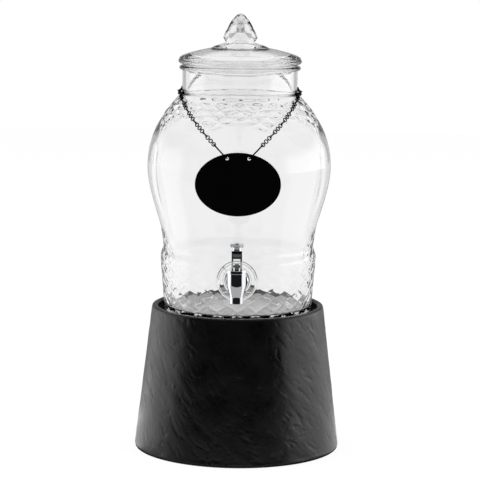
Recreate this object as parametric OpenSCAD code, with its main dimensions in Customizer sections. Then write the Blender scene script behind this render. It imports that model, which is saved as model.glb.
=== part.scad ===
// Glass beverage dispenser: a quilted glass jar and lid on a hollow cast stand, with a lever tap,
// a chain round the neck and a chalkboard tag.
// Millimetres, +Z up, the tap faces -Y, the origin is on the table under the jar's axis.

/* [Stand] */
// Height of the rim above the table
stand_height = 176; // [150:1:210]
// How much wider the stand is at the table than at the rim, in radius
stand_flare = 21; // [10:0.5:30]
// Thickness of the cast wall
stand_wall = 7.5; // [6:0.5:10]
// Thickness of the plate that carries the jar
seat_plate = 9; // [6:0.5:14]
// Depth of the seat below the rim
seat_depth = 14; // [8:0.5:20]
// Gap between the jar and the wall of the seat
seat_gap = 7; // [4:0.5:10]
// Radius that rounds the rim
rim_round = 2.5; // [1:0.25:3]
// Leg of the fillet between the seat plate and the wall, underneath
seat_fillet = 9; // [3:0.5:15]
// Thickness of the felt ring
felt_thick = 1.5; // [1:0.25:3]
// How far the felt ring keeps inside the edges of the wall
felt_inset = 1; // [0.5:0.25:2]

/* [Jar] */
// Diameter where the wall rises from the heel
base_d = 182; // [170:0.5:188]
// Radius that rounds the heel
heel_round = 14; // [8:0.5:20]
// Width of the ring that the jar stands on
foot_width = 7; // [4:0.5:12]
// Height of the hollow under the jar's floor
push_up = 3; // [1:0.25:4]
// Diameter of the quilted lower band at its fullest
band_d = 190.8; // [186:0.2:200]
// Height of that point above the jar's base
band_height = 74; // [66:0.5:84]
// Diameter of the waist above the band
waist_d = 184.4; // [178:0.2:188]
// Rise from the band to the waist
waist_rise = 14.7; // [10:0.1:20]
// Diameter of the belly
belly_d = 223.8; // [205:0.2:240]
// Rise from the waist to the belly
belly_rise = 96.3; // [85:0.1:115]
// Diameter of the neck
neck_d = 139.8; // [125:0.2:150]
// Rise from the belly to the root of the neck
shoulder_rise = 88.3; // [78:0.1:100]
// Radius between the shoulder and the neck
neck_round = 8; // [6:0.5:12]
// Length of the straight neck, up to the rim
neck_length = 31.5; // [22:0.5:45]
// How far the bead at the mouth stands out
bead_proud = 3.9; // [2:0.1:4.5]
// Height of the bead
bead_height = 5.6; // [4:0.2:8]
// Distance from the rim down to the top of the bead
bead_drop = 2.2; // [1.5:0.1:6]
// Thickness of the glass
glass_wall = 5; // [3.5:0.25:6]
// Thickness of the floor
glass_floor = 10; // [7:0.5:14]
// Radius between the floor and the wall, inside
floor_round = 12; // [6:0.5:18]
// Radius that rounds the edges of the mouth
lip_round = 1.2; // [0.5:0.1:1.5]

/* [Lid] */
// Overhang of the brim past the neck
brim_overhang = 5.1; // [3:0.1:8]
// Thickness of the brim
brim_thick = 6.4; // [5:0.2:9]
// Rise from the brim to the step
dome_rise = 12.6; // [8:0.2:20]
// Radius of the step
step_r = 34; // [28:0.5:42]
// Height of the step
step_height = 0.9; // [0.5:0.1:2]
// Rise from the step to the foot of the finial
crown_rise = 5.5; // [3:0.1:10]
// Thickness of the lid's glass
lid_wall = 4.6; // [3.5:0.1:5.5]
// Depth of the ring that locates the lid in the neck
plug_depth = 11; // [6:0.5:18]
// Gap between that ring and the neck
plug_gap = 1.2; // [0.5:0.1:2]
// Thickness of that ring
plug_wall = 4; // [3:0.25:6]
// Diameter of the finial at its fullest
finial_d = 42; // [34:0.5:50]
// Diameter of the finial's foot
finial_foot_d = 36; // [28:0.5:40]
// Height of the finial's fullest point above its foot
finial_belly = 6.6; // [4:0.2:10]
// Height of the finial
finial_height = 35.7; // [25:0.1:45]
// Number of facets round the finial
finial_facets = 8; // [6:1:10]

/* [Tap body] */
// Height of the tap's hole above the jar's base
tap_height = 58.5; // [54:0.5:62]
// Diameter of the boss moulded on the glass
boss_d = 48.8; // [40:0.2:52]
// How far the boss stands out of the glass
boss_proud = 2; // [1:0.1:4]
// Width of the bevel round the boss
boss_bevel = 1.6; // [0.5:0.1:1.8]
// Diameter of the flat inside the jar
inner_flat_d = 34; // [32:0.5:40]
// How far that flat stands out of the glass at its edge
inner_flat_proud = 0.4; // [0.2:0.1:1]
// Diameter of the shank
shank_d = 15.8; // [14:0.1:17]
// Gap round the shank in the glass and the gaskets
hole_gap = 0.6; // [0.3:0.1:1]
// Diameter of the flange
flange_d = 27.6; // [25:0.2:32]
// Thickness of the flange
flange_thick = 4; // [3:0.25:6]
// Thickness of the front gasket
front_gasket = 2; // [1:0.25:3]
// Thickness of the rear gasket
rear_gasket_thick = 3; // [2:0.25:4]
// Diameter of the rear gasket
rear_gasket_d = 30; // [27:0.5:31]
// Width of the nut across its flats
nut_width = 24; // [22:0.5:27]
// Thickness of the nut
nut_thick = 9; // [6:0.5:12]
// Length of shank past the nut
shank_end = 3; // [1:0.5:8]
// Gap between pieces that screw or press together
fit_gap = 0.05; // [0.03:0.01:0.1]
// Distance from the boss to the barrel's axis
tap_reach = 40; // [36:0.5:55]
// Diameter of the arm between the flange and the barrel
arm_d = 15; // [14:0.2:18]
// Diameter of the bore through the shank
bore_d = 9; // [7:0.2:10]
// Diameter of the barrel
barrel_d = 21.6; // [20.6:0.2:25]
// Height of the barrel's top above the hole's axis
barrel_rise = 16.5; // [15:0.25:20]
// Diameter of the nozzle
nozzle_d = 15.4; // [14.6:0.2:18]
// Distance from the hole's axis down to the nozzle's top
nozzle_drop = 11.5; // [10.5:0.25:14]
// Length of the nozzle
nozzle_length = 8; // [5:0.25:14]
// Diameter of the nozzle's outlet
outlet_d = 11.6; // [9.6:0.2:12]
// Diameter of the chamber in the barrel
chamber_d = 16.4; // [15:0.1:17]
// Diameter of the seat's throat
throat_d = 9.2; // [7:0.1:9.4]
// Thickness of the bonnet's head
bonnet_thick = 4; // [3:0.25:6]
// How much wider the bonnet is than the barrel
bonnet_lip = 0.6; // [0.2:0.1:1.5]
// Length of the bonnet's plug in the barrel
bonnet_plug = 7; // [6:0.25:8]

/* [Lever and valve] */
// Width of the lever
lever_width = 12.6; // [11:0.2:16]
// Thickness of the lever, front to back
lever_depth = 7.4; // [6.5:0.1:9]
// Height of the lever above its pin
lever_height = 18.5; // [15:0.5:30]
// Height of the pin above the bonnet
pin_height = 4; // [3.6:0.1:5]
// Diameter of the pin
pin_d = 3; // [2:0.1:3.4]
// Running gap round the pin and the stem
run_gap = 0.08; // [0.04:0.01:0.1]
// Angle through which the lever opens
open_angle = 60; // [40:1:65]
// Lift of the stopper when the lever is fully open
lift = 4; // [2.5:0.1:4.5]
// Width of the tongue on top of the stem
tongue_width = 4.6; // [4:0.1:6]
// Gap between the tongue and each cheek of the fork
cheek_gap = 1.7; // [0.3:0.1:2]
// Height of the fork's slot above the pin
fork_height = 9; // [5:0.5:12]
// Diameter of the stem
stem_d = 5; // [4:0.1:5.6]
// Diameter of the stem's tip in the stopper
tip_d = 4; // [3:0.1:4.4]
// Gap between the stopper and its seat
seal_gap = 0.2; // [0.1:0.05:0.3]
// Height of the stopper's cone
stopper_cone = 4; // [3:0.1:5]
// Height of the stopper's head
stopper_head = 3; // [2:0.1:4]
// Diameter of the O-ring's section
seal_section = 1.3; // [1:0.05:1.6]
// Diameter of the spring's wire
spring_wire = 0.9; // [0.7:0.05:1]
// Diameter of the spring, to the middle of the wire
spring_d = 9.2; // [8:0.1:10]
// Number of turns of the spring
spring_turns = 4.5; // [3.5:0.5:5]
// Diameter of the knob
knob_d = 17.4; // [14:0.2:22]
// Height of the knob
knob_height = 10.2; // [8:0.2:16]
// Diameter of the knob's foot
knob_foot_d = 11.6; // [9:0.2:12.4]

/* [Chain and tag] */
// Outer diameter of a large link, every second one
link_d = 5.6; // [5:0.1:6]
// Diameter of a link's wire
link_wire = 0.95; // [0.8:0.05:1]
// Slack between linked wires
link_slack = 0.15; // [0.1:0.05:0.3]
// Gap between the chain and the glass
chain_gap = 0.3; // [0.2:0.05:0.6]
// Angle from the front to the chain's end
hook_angle = 15.4; // [13:0.1:19]
// Height of the chain's end above the jar's base
hook_height = 221.5; // [218:0.5:228]
// How sharply the chain bends from the neck down over the shoulder
chain_curve = 2.3; // [1.8:0.1:2.8]
// How far below the upper end of the neck's rounding the chain lies at the sides
chain_low = 4.5; // [2:0.5:6]
// Gap between the chain and the bead at the back
chain_under = 3.4; // [2:0.2:20]
// Angle from the front at which the chain has come up to that gap
chain_up = 145; // [135:5:180]
// Diameter of the hook's wire
hook_wire = 1.4; // [1.2:0.1:1.6]
// Outer diameter of the hook's eye
eye_d = 5.4; // [5:0.1:6.4]
// Width of the tag
tag_width = 101; // [80:0.5:120]
// Height of the tag
tag_tall = 75; // [60:0.5:84]
// Thickness of the tag
tag_thick = 2; // [1.4:0.1:2.4]
// Radius that rounds the tag's front edge
tag_round = 0.5; // [0.2:0.1:0.6]
// Gap between the tag and the belly
tag_gap = 0.4; // [0.3:0.1:1]
// Distance from the tag's holes up to its top edge
hole_drop = 7; // [5.5:0.25:8]
// Height of the tag's holes above the jar's base
hole_height = 206.7; // [203:0.5:210]
// Distance between the tag's holes
hole_spacing = 25.8; // [20:0.2:32]
// Diameter of the tag's holes
tag_hole_d = 4; // [3.6:0.1:4.6]

/* [Hidden] */
$fn = 96;

// Stand
recess_r = base_d / 2 + seat_gap;
stand_top_r = recess_r + stand_wall;
stand_base_r = stand_top_r + stand_flare;
seat_z = stand_height - seat_depth;
plate_z = seat_z - seat_plate;
function stand_r(z) = stand_base_r - stand_flare * (z - felt_thick) / (stand_height - felt_thick);

// Jar, as heights above its base
base_r = base_d / 2;
band_r = band_d / 2;
waist_r = waist_d / 2;
belly_r = belly_d / 2;
neck_r = neck_d / 2;
waist_height = band_height + waist_rise;
belly_height = waist_height + belly_rise;
root_height = belly_height + shoulder_rise;
root_r = neck_r + neck_round * (1 - cos(45));
neck_height = root_height + neck_round * sin(45);
jar_height = neck_height + neck_length;
rim_z = seat_z + jar_height;
mouth_r = neck_r - glass_wall;
band_slope = 0.05;
waist_slope = 0.06;

// Cubic between two values with a slope at each end
function cubic(a, b, slope_a, slope_b, run, t) =
    (2 * pow(t, 3) - 3 * pow(t, 2) + 1) * a
    + (pow(t, 3) - 2 * pow(t, 2) + t) * run * slope_a
    + (3 * pow(t, 2) - 2 * pow(t, 3)) * b
    + (pow(t, 3) - pow(t, 2)) * run * slope_b;

// Outer radius of the jar at a height above its base, from the heel up
function jar_r(h) =
    h < heel_round ? base_r
    : h < band_height
        ? cubic(base_r, band_r, band_slope, band_slope, band_height - heel_round,
            (h - heel_round) / (band_height - heel_round))
    : h < waist_height
        ? cubic(band_r, waist_r, band_slope, waist_slope, waist_rise, (h - band_height) / waist_rise)
    : h < belly_height
        ? cubic(waist_r, belly_r, waist_slope, 0, belly_rise, (h - waist_height) / belly_rise)
    : h < root_height
        ? cubic(belly_r, root_r, 0, -1, shoulder_rise, (h - belly_height) / shoulder_rise)
    : h < neck_height
        ? neck_r + neck_round - sqrt(pow(neck_round, 2) - pow(neck_height - h, 2))
    : neck_r;
function jar_slope(h) = (jar_r(h + 0.1) - jar_r(h - 0.1)) / 0.2;
function jar_inner_r(h) = jar_r(h) - glass_wall * sqrt(1 + pow(jar_slope(h), 2));

// Heights at which the jar's profile has a point, closer where it bends
jar_steps = concat(
    [for (i = [0:9]) heel_round + (band_height - heel_round) * i / 10],
    [for (i = [0:5]) band_height + waist_rise * i / 6],
    [for (i = [0:13]) waist_height + belly_rise * i / 14],
    [for (i = [0:13]) belly_height + shoulder_rise * i / 14],
    [for (i = [0:4]) root_height + (neck_height - root_height) * i / 4]);

// Lid, as heights above the jar's rim
brim_r = neck_r + brim_overhang;
plug_r = mouth_r - plug_gap;
step_z = brim_thick + dome_rise;
crown_z = step_z + step_height + crown_rise;
finial_foot_r = finial_foot_d / 2;
finial_sink = 2;
// The crown ends in a narrow flat that the finial rises from
crown_r = finial_foot_r + 1.2;
function dome_z(r) =
    r > step_r
        ? brim_thick + dome_rise * pow((brim_r - 1 - r) / (brim_r - 1 - step_r), 0.62)
        : step_z + step_height + crown_rise * pow((step_r - r) / (step_r - crown_r), 0.8);
function under_z(r) =
    brim_thick + dome_rise * pow((brim_r - 1 - max(r, step_r)) / (brim_r - 1 - step_r), 0.62) - lid_wall;

// Tap
tap_z = seat_z + tap_height;
tap_r = jar_r(tap_height);
boss_y = tap_r + boss_proud;
inner_flat_r = inner_flat_d / 2;
inner_y = sqrt(pow(tap_r - glass_wall, 2) - pow(inner_flat_r, 2)) - inner_flat_proud;
hole_d = shank_d + 2 * hole_gap;
flange_y = boss_y + front_gasket;
barrel_y = boss_y + tap_reach;
gasket_back_y = inner_y - rear_gasket_thick;
nut_back_y = gasket_back_y - nut_thick;
shank_back_y = nut_back_y - shank_end;
barrel_z = tap_z + barrel_rise;
nozzle_z = tap_z - nozzle_drop;
outlet_z = nozzle_z - nozzle_length;
bonnet_z = barrel_z + bonnet_thick;
plug_z = barrel_z - bonnet_plug;
chamber_r = chamber_d / 2;
throat_r = throat_d / 2;
// The chamber narrows to the throat in a cone below the bore
cone_top_z = tap_z - 1.5;
throat_z = nozzle_z + 1.5;
function seat_r(z) = throat_r + (chamber_r - throat_r) * (z - throat_z) / (cone_top_z - throat_z);

// Lever and valve
pin_z = bonnet_z + pin_height;
cam_radius = lift / (open_angle * PI / 180);
cam_clear = 0.06;
stopper_z = throat_z + 0.8;
stopper_top_z = stopper_z + stopper_cone + stopper_head;
stopper_r = seat_r(stopper_z + stopper_cone) - seal_gap;
slot_half = tongue_width / 2 + cheek_gap;
tongue_r = 3;
seal_groove = 2;
seal_r = stem_d / 2 + run_gap + seal_section / 2;
seal_z = plug_z + 4;

// Outline of a cheek of the lever in its side view: forward, up, about the pin.
// The toe is an involute of cam_radius, so that the lift grows evenly with the angle.
function toe(a) =
    let (p = pin_height - cam_clear + cam_radius * a * PI / 180)
    [p * sin(a) + cam_radius * cos(a), cam_radius * sin(a) - p * cos(a)];
toe_end = toe(open_angle + 3);
lever_outline = concat(
    [[-lever_depth / 2 + 1, -pin_height + cam_clear]],
    [for (i = [0:9]) toe((open_angle + 3) * i / 9)],
    [for (i = [1:8])
        let (t = i / 8)
        [lever_depth / 2 + (toe_end[0] - lever_depth / 2) * pow(1 - t, 2.4),
            toe_end[1] + (lever_height * 0.62 - toe_end[1]) * t]],
    [[lever_depth / 2, lever_height], [-lever_depth / 2, lever_height],
        [-lever_depth / 2, -pin_height + 1 + cam_clear]]);

// Chain
link_r = link_d / 2 - link_wire / 2;
// The small links between just let the wires of two large ones lie side by side
joint_d = 4 * link_wire + 2 * link_slack + 0.15;
joint_r = joint_d / 2 - link_wire / 2;
link_pitch = link_r - link_wire - link_slack + joint_r;
chain_off = max(joint_d, eye_d) / 2 + chain_gap;
side_height = neck_height - chain_low;
back_height = jar_height - bead_drop - bead_height - chain_under - link_d / 2;
path_n = 240;

// Normal of the jar's profile at a height: outward, up
function profile_normal(h) = let (s = jar_slope(h)) [1, -s] / sqrt(1 + s * s);
function chain_height(a) =
    let (b = a <= 180 ? a : 360 - a, t = min(1, (b - hook_angle) / (90 - hook_angle)),
        s = min(1, max(0, (b - 90) / (chain_up - 90))))
    hook_height + (side_height - hook_height) * (1 - pow(1 - t, chain_curve))
        + (back_height - side_height) * s * s * (3 - 2 * s);
function chain_out(a) =
    let (n = profile_normal(chain_height(a))) [n[0] * sin(a), -n[0] * cos(a), n[1]];
function chain_at(a) =
    let (h = chain_height(a), n = profile_normal(h), r = jar_r(h) + chain_off * n[0])
    [r * sin(a), -r * cos(a), seat_z + h + chain_off * n[1]];
function unit(v) = v / norm(v);
function chain_along(a) = unit(chain_at(a + 0.3) - chain_at(a - 0.3));

path_angles = [for (i = [0:path_n]) hook_angle + (360 - 2 * hook_angle) * i / path_n];
path_points = [for (a = path_angles) chain_at(a)];
path_sums = [for (i = 0, s = 0; i <= path_n;
    s = s + (i < path_n ? norm(path_points[i + 1] - path_points[i]) : 0), i = i + 1) s];
chain_length = path_sums[path_n];
angle_table = [for (i = [0:path_n]) [path_sums[i], path_angles[i]]];
link_count = 2 * floor(chain_length / link_pitch / 2) + 1;
link_step = chain_length / (link_count - 1);

// Tag and hooks
tag_back = belly_r + tag_gap;
tag_front = tag_back + tag_thick;
hole_z = seat_z + hole_height;
tag_z = hole_z + hole_drop - tag_tall / 2;
hook_r = hook_wire / 2;
// The wire crosses the hole a little above its middle, and the tag swings about it there
hook_rise = 0.4;
hook_air = 0.5;
hook_room = 0.9;
eye_r = eye_d / 2 - hook_r;
eye_step = eye_r - hook_r + link_r - link_wire / 2 - link_slack;
hook_front = tag_front + hook_r + hook_air;
hook_back = tag_back - hook_r - hook_room;

function bend(a, b, c, n) =
    [for (i = [0:n]) let (t = i / n) pow(1 - t, 2) * a + 2 * t * (1 - t) * b + t * t * c];

// Course of the right hook's wire: its eye in the last link, forward over the tag's top edge, down to its hole,
// through it and aside behind it
hook_along = chain_along(hook_angle);
hook_out = unit(chain_out(hook_angle) - (chain_out(hook_angle) * hook_along) * hook_along);
eye_at = chain_at(hook_angle) - eye_step * hook_along;
eye_ring = [for (i = [0:12])
    let (a = 315 - 270 * i / 12) eye_at + eye_r * (sin(a) * hook_out - cos(a) * hook_along)];
eye_end = eye_ring[12];
hook_in = [hole_spacing / 2, -hook_front, hole_z + hook_rise];
hook_through = [hole_spacing / 2, -hook_back, hole_z + hook_rise];
over_rise = hole_drop - hook_rise - 0.4;
over_t = over_rise / (eye_end[2] - hook_in[2]);
hook_over = [hook_in[0] + over_t * (eye_end[0] - hook_in[0]), -hook_front, hook_in[2] + over_rise];
hook_path = concat(
    eye_ring,
    bend(hook_over + 2.5 * unit(eye_end - hook_over), hook_over, hook_over + 2 * unit(hook_in - hook_over), 4),
    bend(hook_in + 2 * unit(hook_over - hook_in), hook_in, hook_in + [0, 1.5, 0], 4),
    bend(hook_through - [0, 1, 0], hook_through, hook_through + [2.4, 0, 0], 4));

// Closed tube along a list of points, with a frame that turns no more than it must
module tube(path, r, sides) {
    n = len(path);
    along = [for (i = [0:n - 1]) unit(path[min(i + 1, n - 1)] - path[max(i - 1, 0)])];
    first = abs(along[0][2]) < 0.9 ? cross(along[0], [0, 0, 1]) : cross(along[0], [1, 0, 0]);
    side = [for (i = 0, v = unit(first); i < n;
        i = i + 1, v = i < n ? unit(v - (v * along[i]) * along[i]) : v) v];
    points = [for (i = [0:n - 1], k = [0:sides - 1])
        let (a = 360 * k / sides) path[i] + r * (cos(a) * side[i] + sin(a) * cross(along[i], side[i]))];
    walls = [for (i = [0:n - 2], k = [0:sides - 1], half = [0, 1])
        let (a = i * sides + k, b = i * sides + (k + 1) % sides)
        half == 0 ? [a, a + sides, b + sides] : [a, b + sides, b]];
    caps = [[for (k = [0:sides - 1]) k], [for (k = [sides - 1:-1:0]) (n - 1) * sides + k]];
    polyhedron(points = points, faces = concat(walls, caps), convexity = 8);
}

// Places its children on the axis of the tap's hole, with +Z towards the front
module on_tap_axis(y) {
    translate([0, -y, tap_z])
        rotate([90, 0, 0])
            children();
}

// Hollow cone, open underneath, with a recess in its top that takes the jar
module stand() {
    wall_in = stand_wall;
    color([0.07, 0.07, 0.075])
        rotate_extrude()
            polygon(concat(
                [[stand_base_r, felt_thick]],
                [for (i = [0:4])
                    let (a = 90 * i / 4)
                    [stand_top_r - rim_round + rim_round * cos(a),
                        stand_height - rim_round + rim_round * sin(a)]],
                [for (i = [0:4])
                    let (a = 90 + 90 * i / 4)
                    [recess_r + rim_round + rim_round * cos(a),
                        stand_height - rim_round + rim_round * sin(a)]],
                [[recess_r, seat_z], [0, seat_z], [0, plate_z]],
                [[stand_r(plate_z) - wall_in - seat_fillet, plate_z],
                    [stand_r(plate_z - seat_fillet) - wall_in, plate_z - seat_fillet],
                    [stand_base_r - wall_in, felt_thick]]));
}

// Soft ring glued under the wall
module felt_ring() {
    color([0.16, 0.15, 0.14])
        rotate_extrude()
            translate([stand_base_r - stand_wall + felt_inset, 0])
                square([stand_wall - 2 * felt_inset, felt_thick]);
}

// Jar: one profile turned about the axis, with a boss outside and a flat inside for the tap
module glass_jar() {
    outside = concat(
        [[0, push_up], [base_r - heel_round - foot_width - 2 * push_up, push_up],
            [base_r - heel_round - foot_width, 0]],
        [for (i = [0:7])
            let (a = -90 + 90 * i / 8)
            [base_r - heel_round + heel_round * cos(a), heel_round + heel_round * sin(a)]],
        [for (h = jar_steps) [jar_r(h), h]]);
    bead_z = jar_height - bead_drop - bead_height / 2;
    mouth = concat(
        [for (i = [0:10])
            let (a = -90 + 18 * i)
            [neck_r + bead_proud * cos(a), bead_z + bead_height / 2 * sin(a)]],
        [for (i = [0:3])
            let (a = 30 * i)
            [neck_r - lip_round + lip_round * cos(a), jar_height - lip_round + lip_round * sin(a)]],
        [for (i = [0:3])
            let (a = 90 + 30 * i)
            [mouth_r + lip_round + lip_round * cos(a), jar_height - lip_round + lip_round * sin(a)]]);
    floor_h = glass_floor + floor_round;
    inside = concat(
        [for (i = [len(jar_steps) - 1:-1:0])
            if (jar_steps[i] > floor_h + 1) [jar_inner_r(jar_steps[i]), jar_steps[i]]],
        [for (i = [0:6])
            let (a = -90 * i / 6)
            [jar_inner_r(floor_h) - floor_round + floor_round * cos(a), floor_h + floor_round * sin(a)]],
        [[0, glass_floor]]);
    color([0.85, 0.9, 0.9, 0.4])
        difference() {
            union() {
                translate([0, 0, seat_z])
                    rotate_extrude()
                        polygon(concat(outside, mouth, inside));
                on_tap_axis(tap_r - glass_wall + 0.6)
                    cylinder(d = boss_d, h = glass_wall + boss_proud - 0.6 - boss_bevel);
                on_tap_axis(boss_y - boss_bevel)
                    cylinder(d1 = boss_d, d2 = boss_d - 2 * boss_bevel, h = boss_bevel);
                on_tap_axis(inner_y)
                    cylinder(r = inner_flat_r, h = glass_wall);
            }
            on_tap_axis(inner_y - 1)
                cylinder(d = hole_d, h = boss_y - inner_y + 2);
        }
}

// Lid: brim, stepped dome and locating ring in one turned profile, with a faceted acorn on top
module glass_lid() {
    rim = brim_thick / 2;
    dome = concat(
        [for (i = [0:8]) let (r = brim_r - 1 - (brim_r - 1 - step_r) * pow(i / 8, 1.5)) [r, dome_z(r)]],
        [for (i = [0:5]) let (r = step_r - (step_r - crown_r) * i / 5) [r, dome_z(r)]]);
    ring_r = plug_r - plug_wall;
    under = concat(
        [[0, under_z(0)]],
        [for (i = [0:5]) let (r = step_r + (ring_r - step_r) * i / 5) [r, under_z(r)]]);
    color([0.85, 0.9, 0.9, 0.4])
        translate([0, 0, rim_z])
            union() {
                rotate_extrude()
                    polygon(concat(
                        under,
                        [[ring_r, -plug_depth + 1], [ring_r + 1, -plug_depth], [plug_r - 1, -plug_depth],
                            [plug_r, -plug_depth + 1], [plug_r, 0]],
                        [for (i = [0:6])
                            let (a = -90 + 25 * i)
                            [brim_r - rim + rim * cos(a), rim + rim * sin(a)]],
                        dome,
                        [[0, crown_z]]));
                finial();
            }
}

// Acorn finial: rings of points, each turned half a facet from the last, joined by flat triangles
module finial() {
    n = finial_facets;
    taper = finial_height - finial_belly;
    rings = concat(
        [[finial_foot_r - 0.6, crown_z - finial_sink], [finial_foot_r, crown_z + 0.4],
            [finial_d / 2, crown_z + finial_belly]],
        [for (t = [0.33, 0.64, 0.9])
            [finial_d / 2 * (1 - 0.76 * pow(t, 1.2)), crown_z + finial_belly + taper * t]]);
    m = len(rings);
    points = concat(
        [for (j = [0:m - 1], k = [0:n - 1])
            let (a = 360 * (k + (j % 2) / 2) / n) [rings[j][0] * cos(a), rings[j][0] * sin(a), rings[j][1]]],
        [[0, 0, crown_z + finial_height]]);
    walls = [for (j = [0:m - 2], k = [0:n - 1], half = [0, 1])
        let (q = (k + 1) % n, even = j % 2 == 0)
        half == 0
            ? [j * n + k, (j + 1) * n + (even ? k : q), j * n + q]
            : [(j + 1) * n + k, (j + 1) * n + q, j * n + (even ? q : k)]];
    tip = [for (k = [0:n - 1]) [(m - 1) * n + k, m * n, (m - 1) * n + (k + 1) % n]];
    base = [[for (k = [0:n - 1]) k]];
    polyhedron(points = points, faces = concat(walls, tip, base), convexity = 4);
}

// Tap body: shank, flange, arm, barrel and nozzle, with the way for the drink through all of them
module tap_body() {
    color([0.8, 0.81, 0.83])
        difference() {
            union() {
                on_tap_axis(shank_back_y)
                    cylinder(d = shank_d, h = flange_y - shank_back_y + 0.5);
                on_tap_axis(flange_y)
                    rotate_extrude()
                        polygon([[0, 0], [flange_d / 2, 0], [flange_d / 2, flange_thick * 0.45],
                            [flange_d / 2 - 1.4, flange_thick * 0.8], [arm_d / 2 + 0.8, flange_thick],
                            [arm_d / 2 - 0.4, flange_thick + 1.2], [0, flange_thick + 1.2]]);
                on_tap_axis(flange_y + flange_thick)
                    cylinder(d = arm_d, h = barrel_y - flange_y - flange_thick);
                translate([0, -barrel_y, 0])
                    rotate_extrude()
                        polygon([[0, outlet_z], [nozzle_d / 2 - 0.5, outlet_z], [nozzle_d / 2, outlet_z + 0.5],
                            [nozzle_d / 2, nozzle_z], [barrel_d / 2 - 0.8, tap_z - 1.5], [barrel_d / 2, tap_z + 2],
                            [barrel_d / 2, barrel_z], [0, barrel_z]]);
            }
            on_tap_axis(shank_back_y - 1)
                cylinder(d = bore_d, h = barrel_y - shank_back_y + 1);
            translate([0, -barrel_y, 0])
                rotate_extrude()
                    polygon([[0, outlet_z - 1], [outlet_d / 2, outlet_z - 1], [outlet_d / 2, throat_z - 2],
                        [throat_r, throat_z - 1], [throat_r, throat_z], [chamber_r, cone_top_z],
                        [chamber_r, barrel_z + 1], [0, barrel_z + 1]]);
        }
}

// Silicone washer between the flange and the boss
module front_gasket() {
    color([0.88, 0.9, 0.9])
        on_tap_axis(boss_y)
            difference() {
                cylinder(d = flange_d, h = front_gasket);
                translate([0, 0, -1])
                    cylinder(d = hole_d, h = front_gasket + 2);
            }
}

// Silicone washer between the flat inside the jar and the nut
module rear_gasket() {
    color([0.88, 0.9, 0.9])
        on_tap_axis(gasket_back_y)
            difference() {
                cylinder(d = rear_gasket_d, h = rear_gasket_thick);
                translate([0, 0, -1])
                    cylinder(d = hole_d, h = rear_gasket_thick + 2);
            }
}

// Hexagon nut with chamfered corners
module shank_nut() {
    corner = nut_width / cos(30);
    color([0.9, 0.9, 0.88])
        on_tap_axis(nut_back_y)
            difference() {
                intersection() {
                    cylinder(d = corner, h = nut_thick, $fn = 6);
                    rotate_extrude()
                        polygon([[0, 0], [nut_width / 2 - 0.2, 0], [corner / 2 + 0.2, 1.4],
                            [corner / 2 + 0.2, nut_thick], [0, nut_thick]]);
                }
                translate([0, 0, -1])
                    cylinder(d = shank_d + 2 * fit_gap, h = nut_thick + 2);
            }
}

// Cap that screws into the barrel, with a groove for the stem's O-ring
module bonnet() {
    hole_r = stem_d / 2 + run_gap;
    groove_r = seal_r + seal_section / 2 + fit_gap;
    head_r = barrel_d / 2 + bonnet_lip;
    color([0.8, 0.81, 0.83])
        translate([0, -barrel_y, 0])
            rotate_extrude()
                polygon([[hole_r, plug_z], [chamber_r - fit_gap, plug_z], [chamber_r - fit_gap, barrel_z],
                    [head_r - 0.5, barrel_z], [head_r, barrel_z + 0.5], [head_r, bonnet_z - 1],
                    [head_r - 1, bonnet_z], [hole_r, bonnet_z], [hole_r, seal_z + seal_groove / 2],
                    [groove_r, seal_z + seal_groove / 2], [groove_r, seal_z - seal_groove / 2],
                    [hole_r, seal_z - seal_groove / 2]]);
}

// O-ring round the stem
module stem_seal() {
    color([0.1, 0.1, 0.1])
        translate([0, -barrel_y, seal_z])
            rotate_extrude()
                translate([seal_r, 0])
                    circle(d = seal_section);
}

// Stem: a tip moulded into the stopper, a shoulder on it, a rod and a flat tongue for the pin
module valve_stem() {
    color([0.7, 0.71, 0.72])
        translate([0, -barrel_y, 0])
            difference() {
                union() {
                    translate([0, 0, stopper_z + 1])
                        cylinder(d = tip_d, h = stopper_top_z - stopper_z);
                    translate([0, 0, stopper_top_z])
                        cylinder(d = stem_d, h = bonnet_z + 0.8 - stopper_top_z);
                    intersection() {
                        union() {
                            translate([-tongue_width / 2, -tongue_r, bonnet_z + 0.5])
                                cube([tongue_width, 2 * tongue_r, pin_height - 0.5]);
                            translate([-tongue_width / 2, 0, pin_z])
                                rotate([0, 90, 0])
                                    cylinder(r = tongue_r, h = tongue_width);
                        }
                        translate([0, 0, bonnet_z + 0.5])
                            cylinder(r = tongue_r + 0.4, h = pin_height + tongue_r);
                    }
                }
                translate([-tongue_width, 0, pin_z])
                    rotate([0, 90, 0])
                        cylinder(d = pin_d + 2 * run_gap, h = 2 * tongue_width);
            }
}

// Silicone stopper: a cone that follows the seat, with a head that the spring presses on
module stopper() {
    tip_r = tip_d / 2 + fit_gap;
    color([0.88, 0.9, 0.9])
        translate([0, -barrel_y, 0])
            rotate_extrude()
                polygon([[0, stopper_z], [seat_r(stopper_z) - seal_gap, stopper_z],
                    [stopper_r, stopper_z + stopper_cone], [stopper_r, stopper_top_z], [tip_r, stopper_top_z],
                    [tip_r, stopper_z + 1 - fit_gap], [0, stopper_z + 1 - fit_gap]]);
}

// Compression spring between the stopper and the bonnet, its end turns closed
module closing_spring() {
    low = stopper_top_z + spring_wire / 2 + 0.1;
    high = plug_z - spring_wire / 2 - 0.1;
    steps = round(spring_turns * 14);
    color([0.75, 0.76, 0.78])
        translate([0, -barrel_y, 0])
            tube([for (i = [0:steps])
                    let (t = i / steps, a = 360 * spring_turns * t)
                    [spring_d / 2 * cos(a), spring_d / 2 * sin(a), low + (high - low) * t]],
                spring_wire / 2, 6);
}

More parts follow.
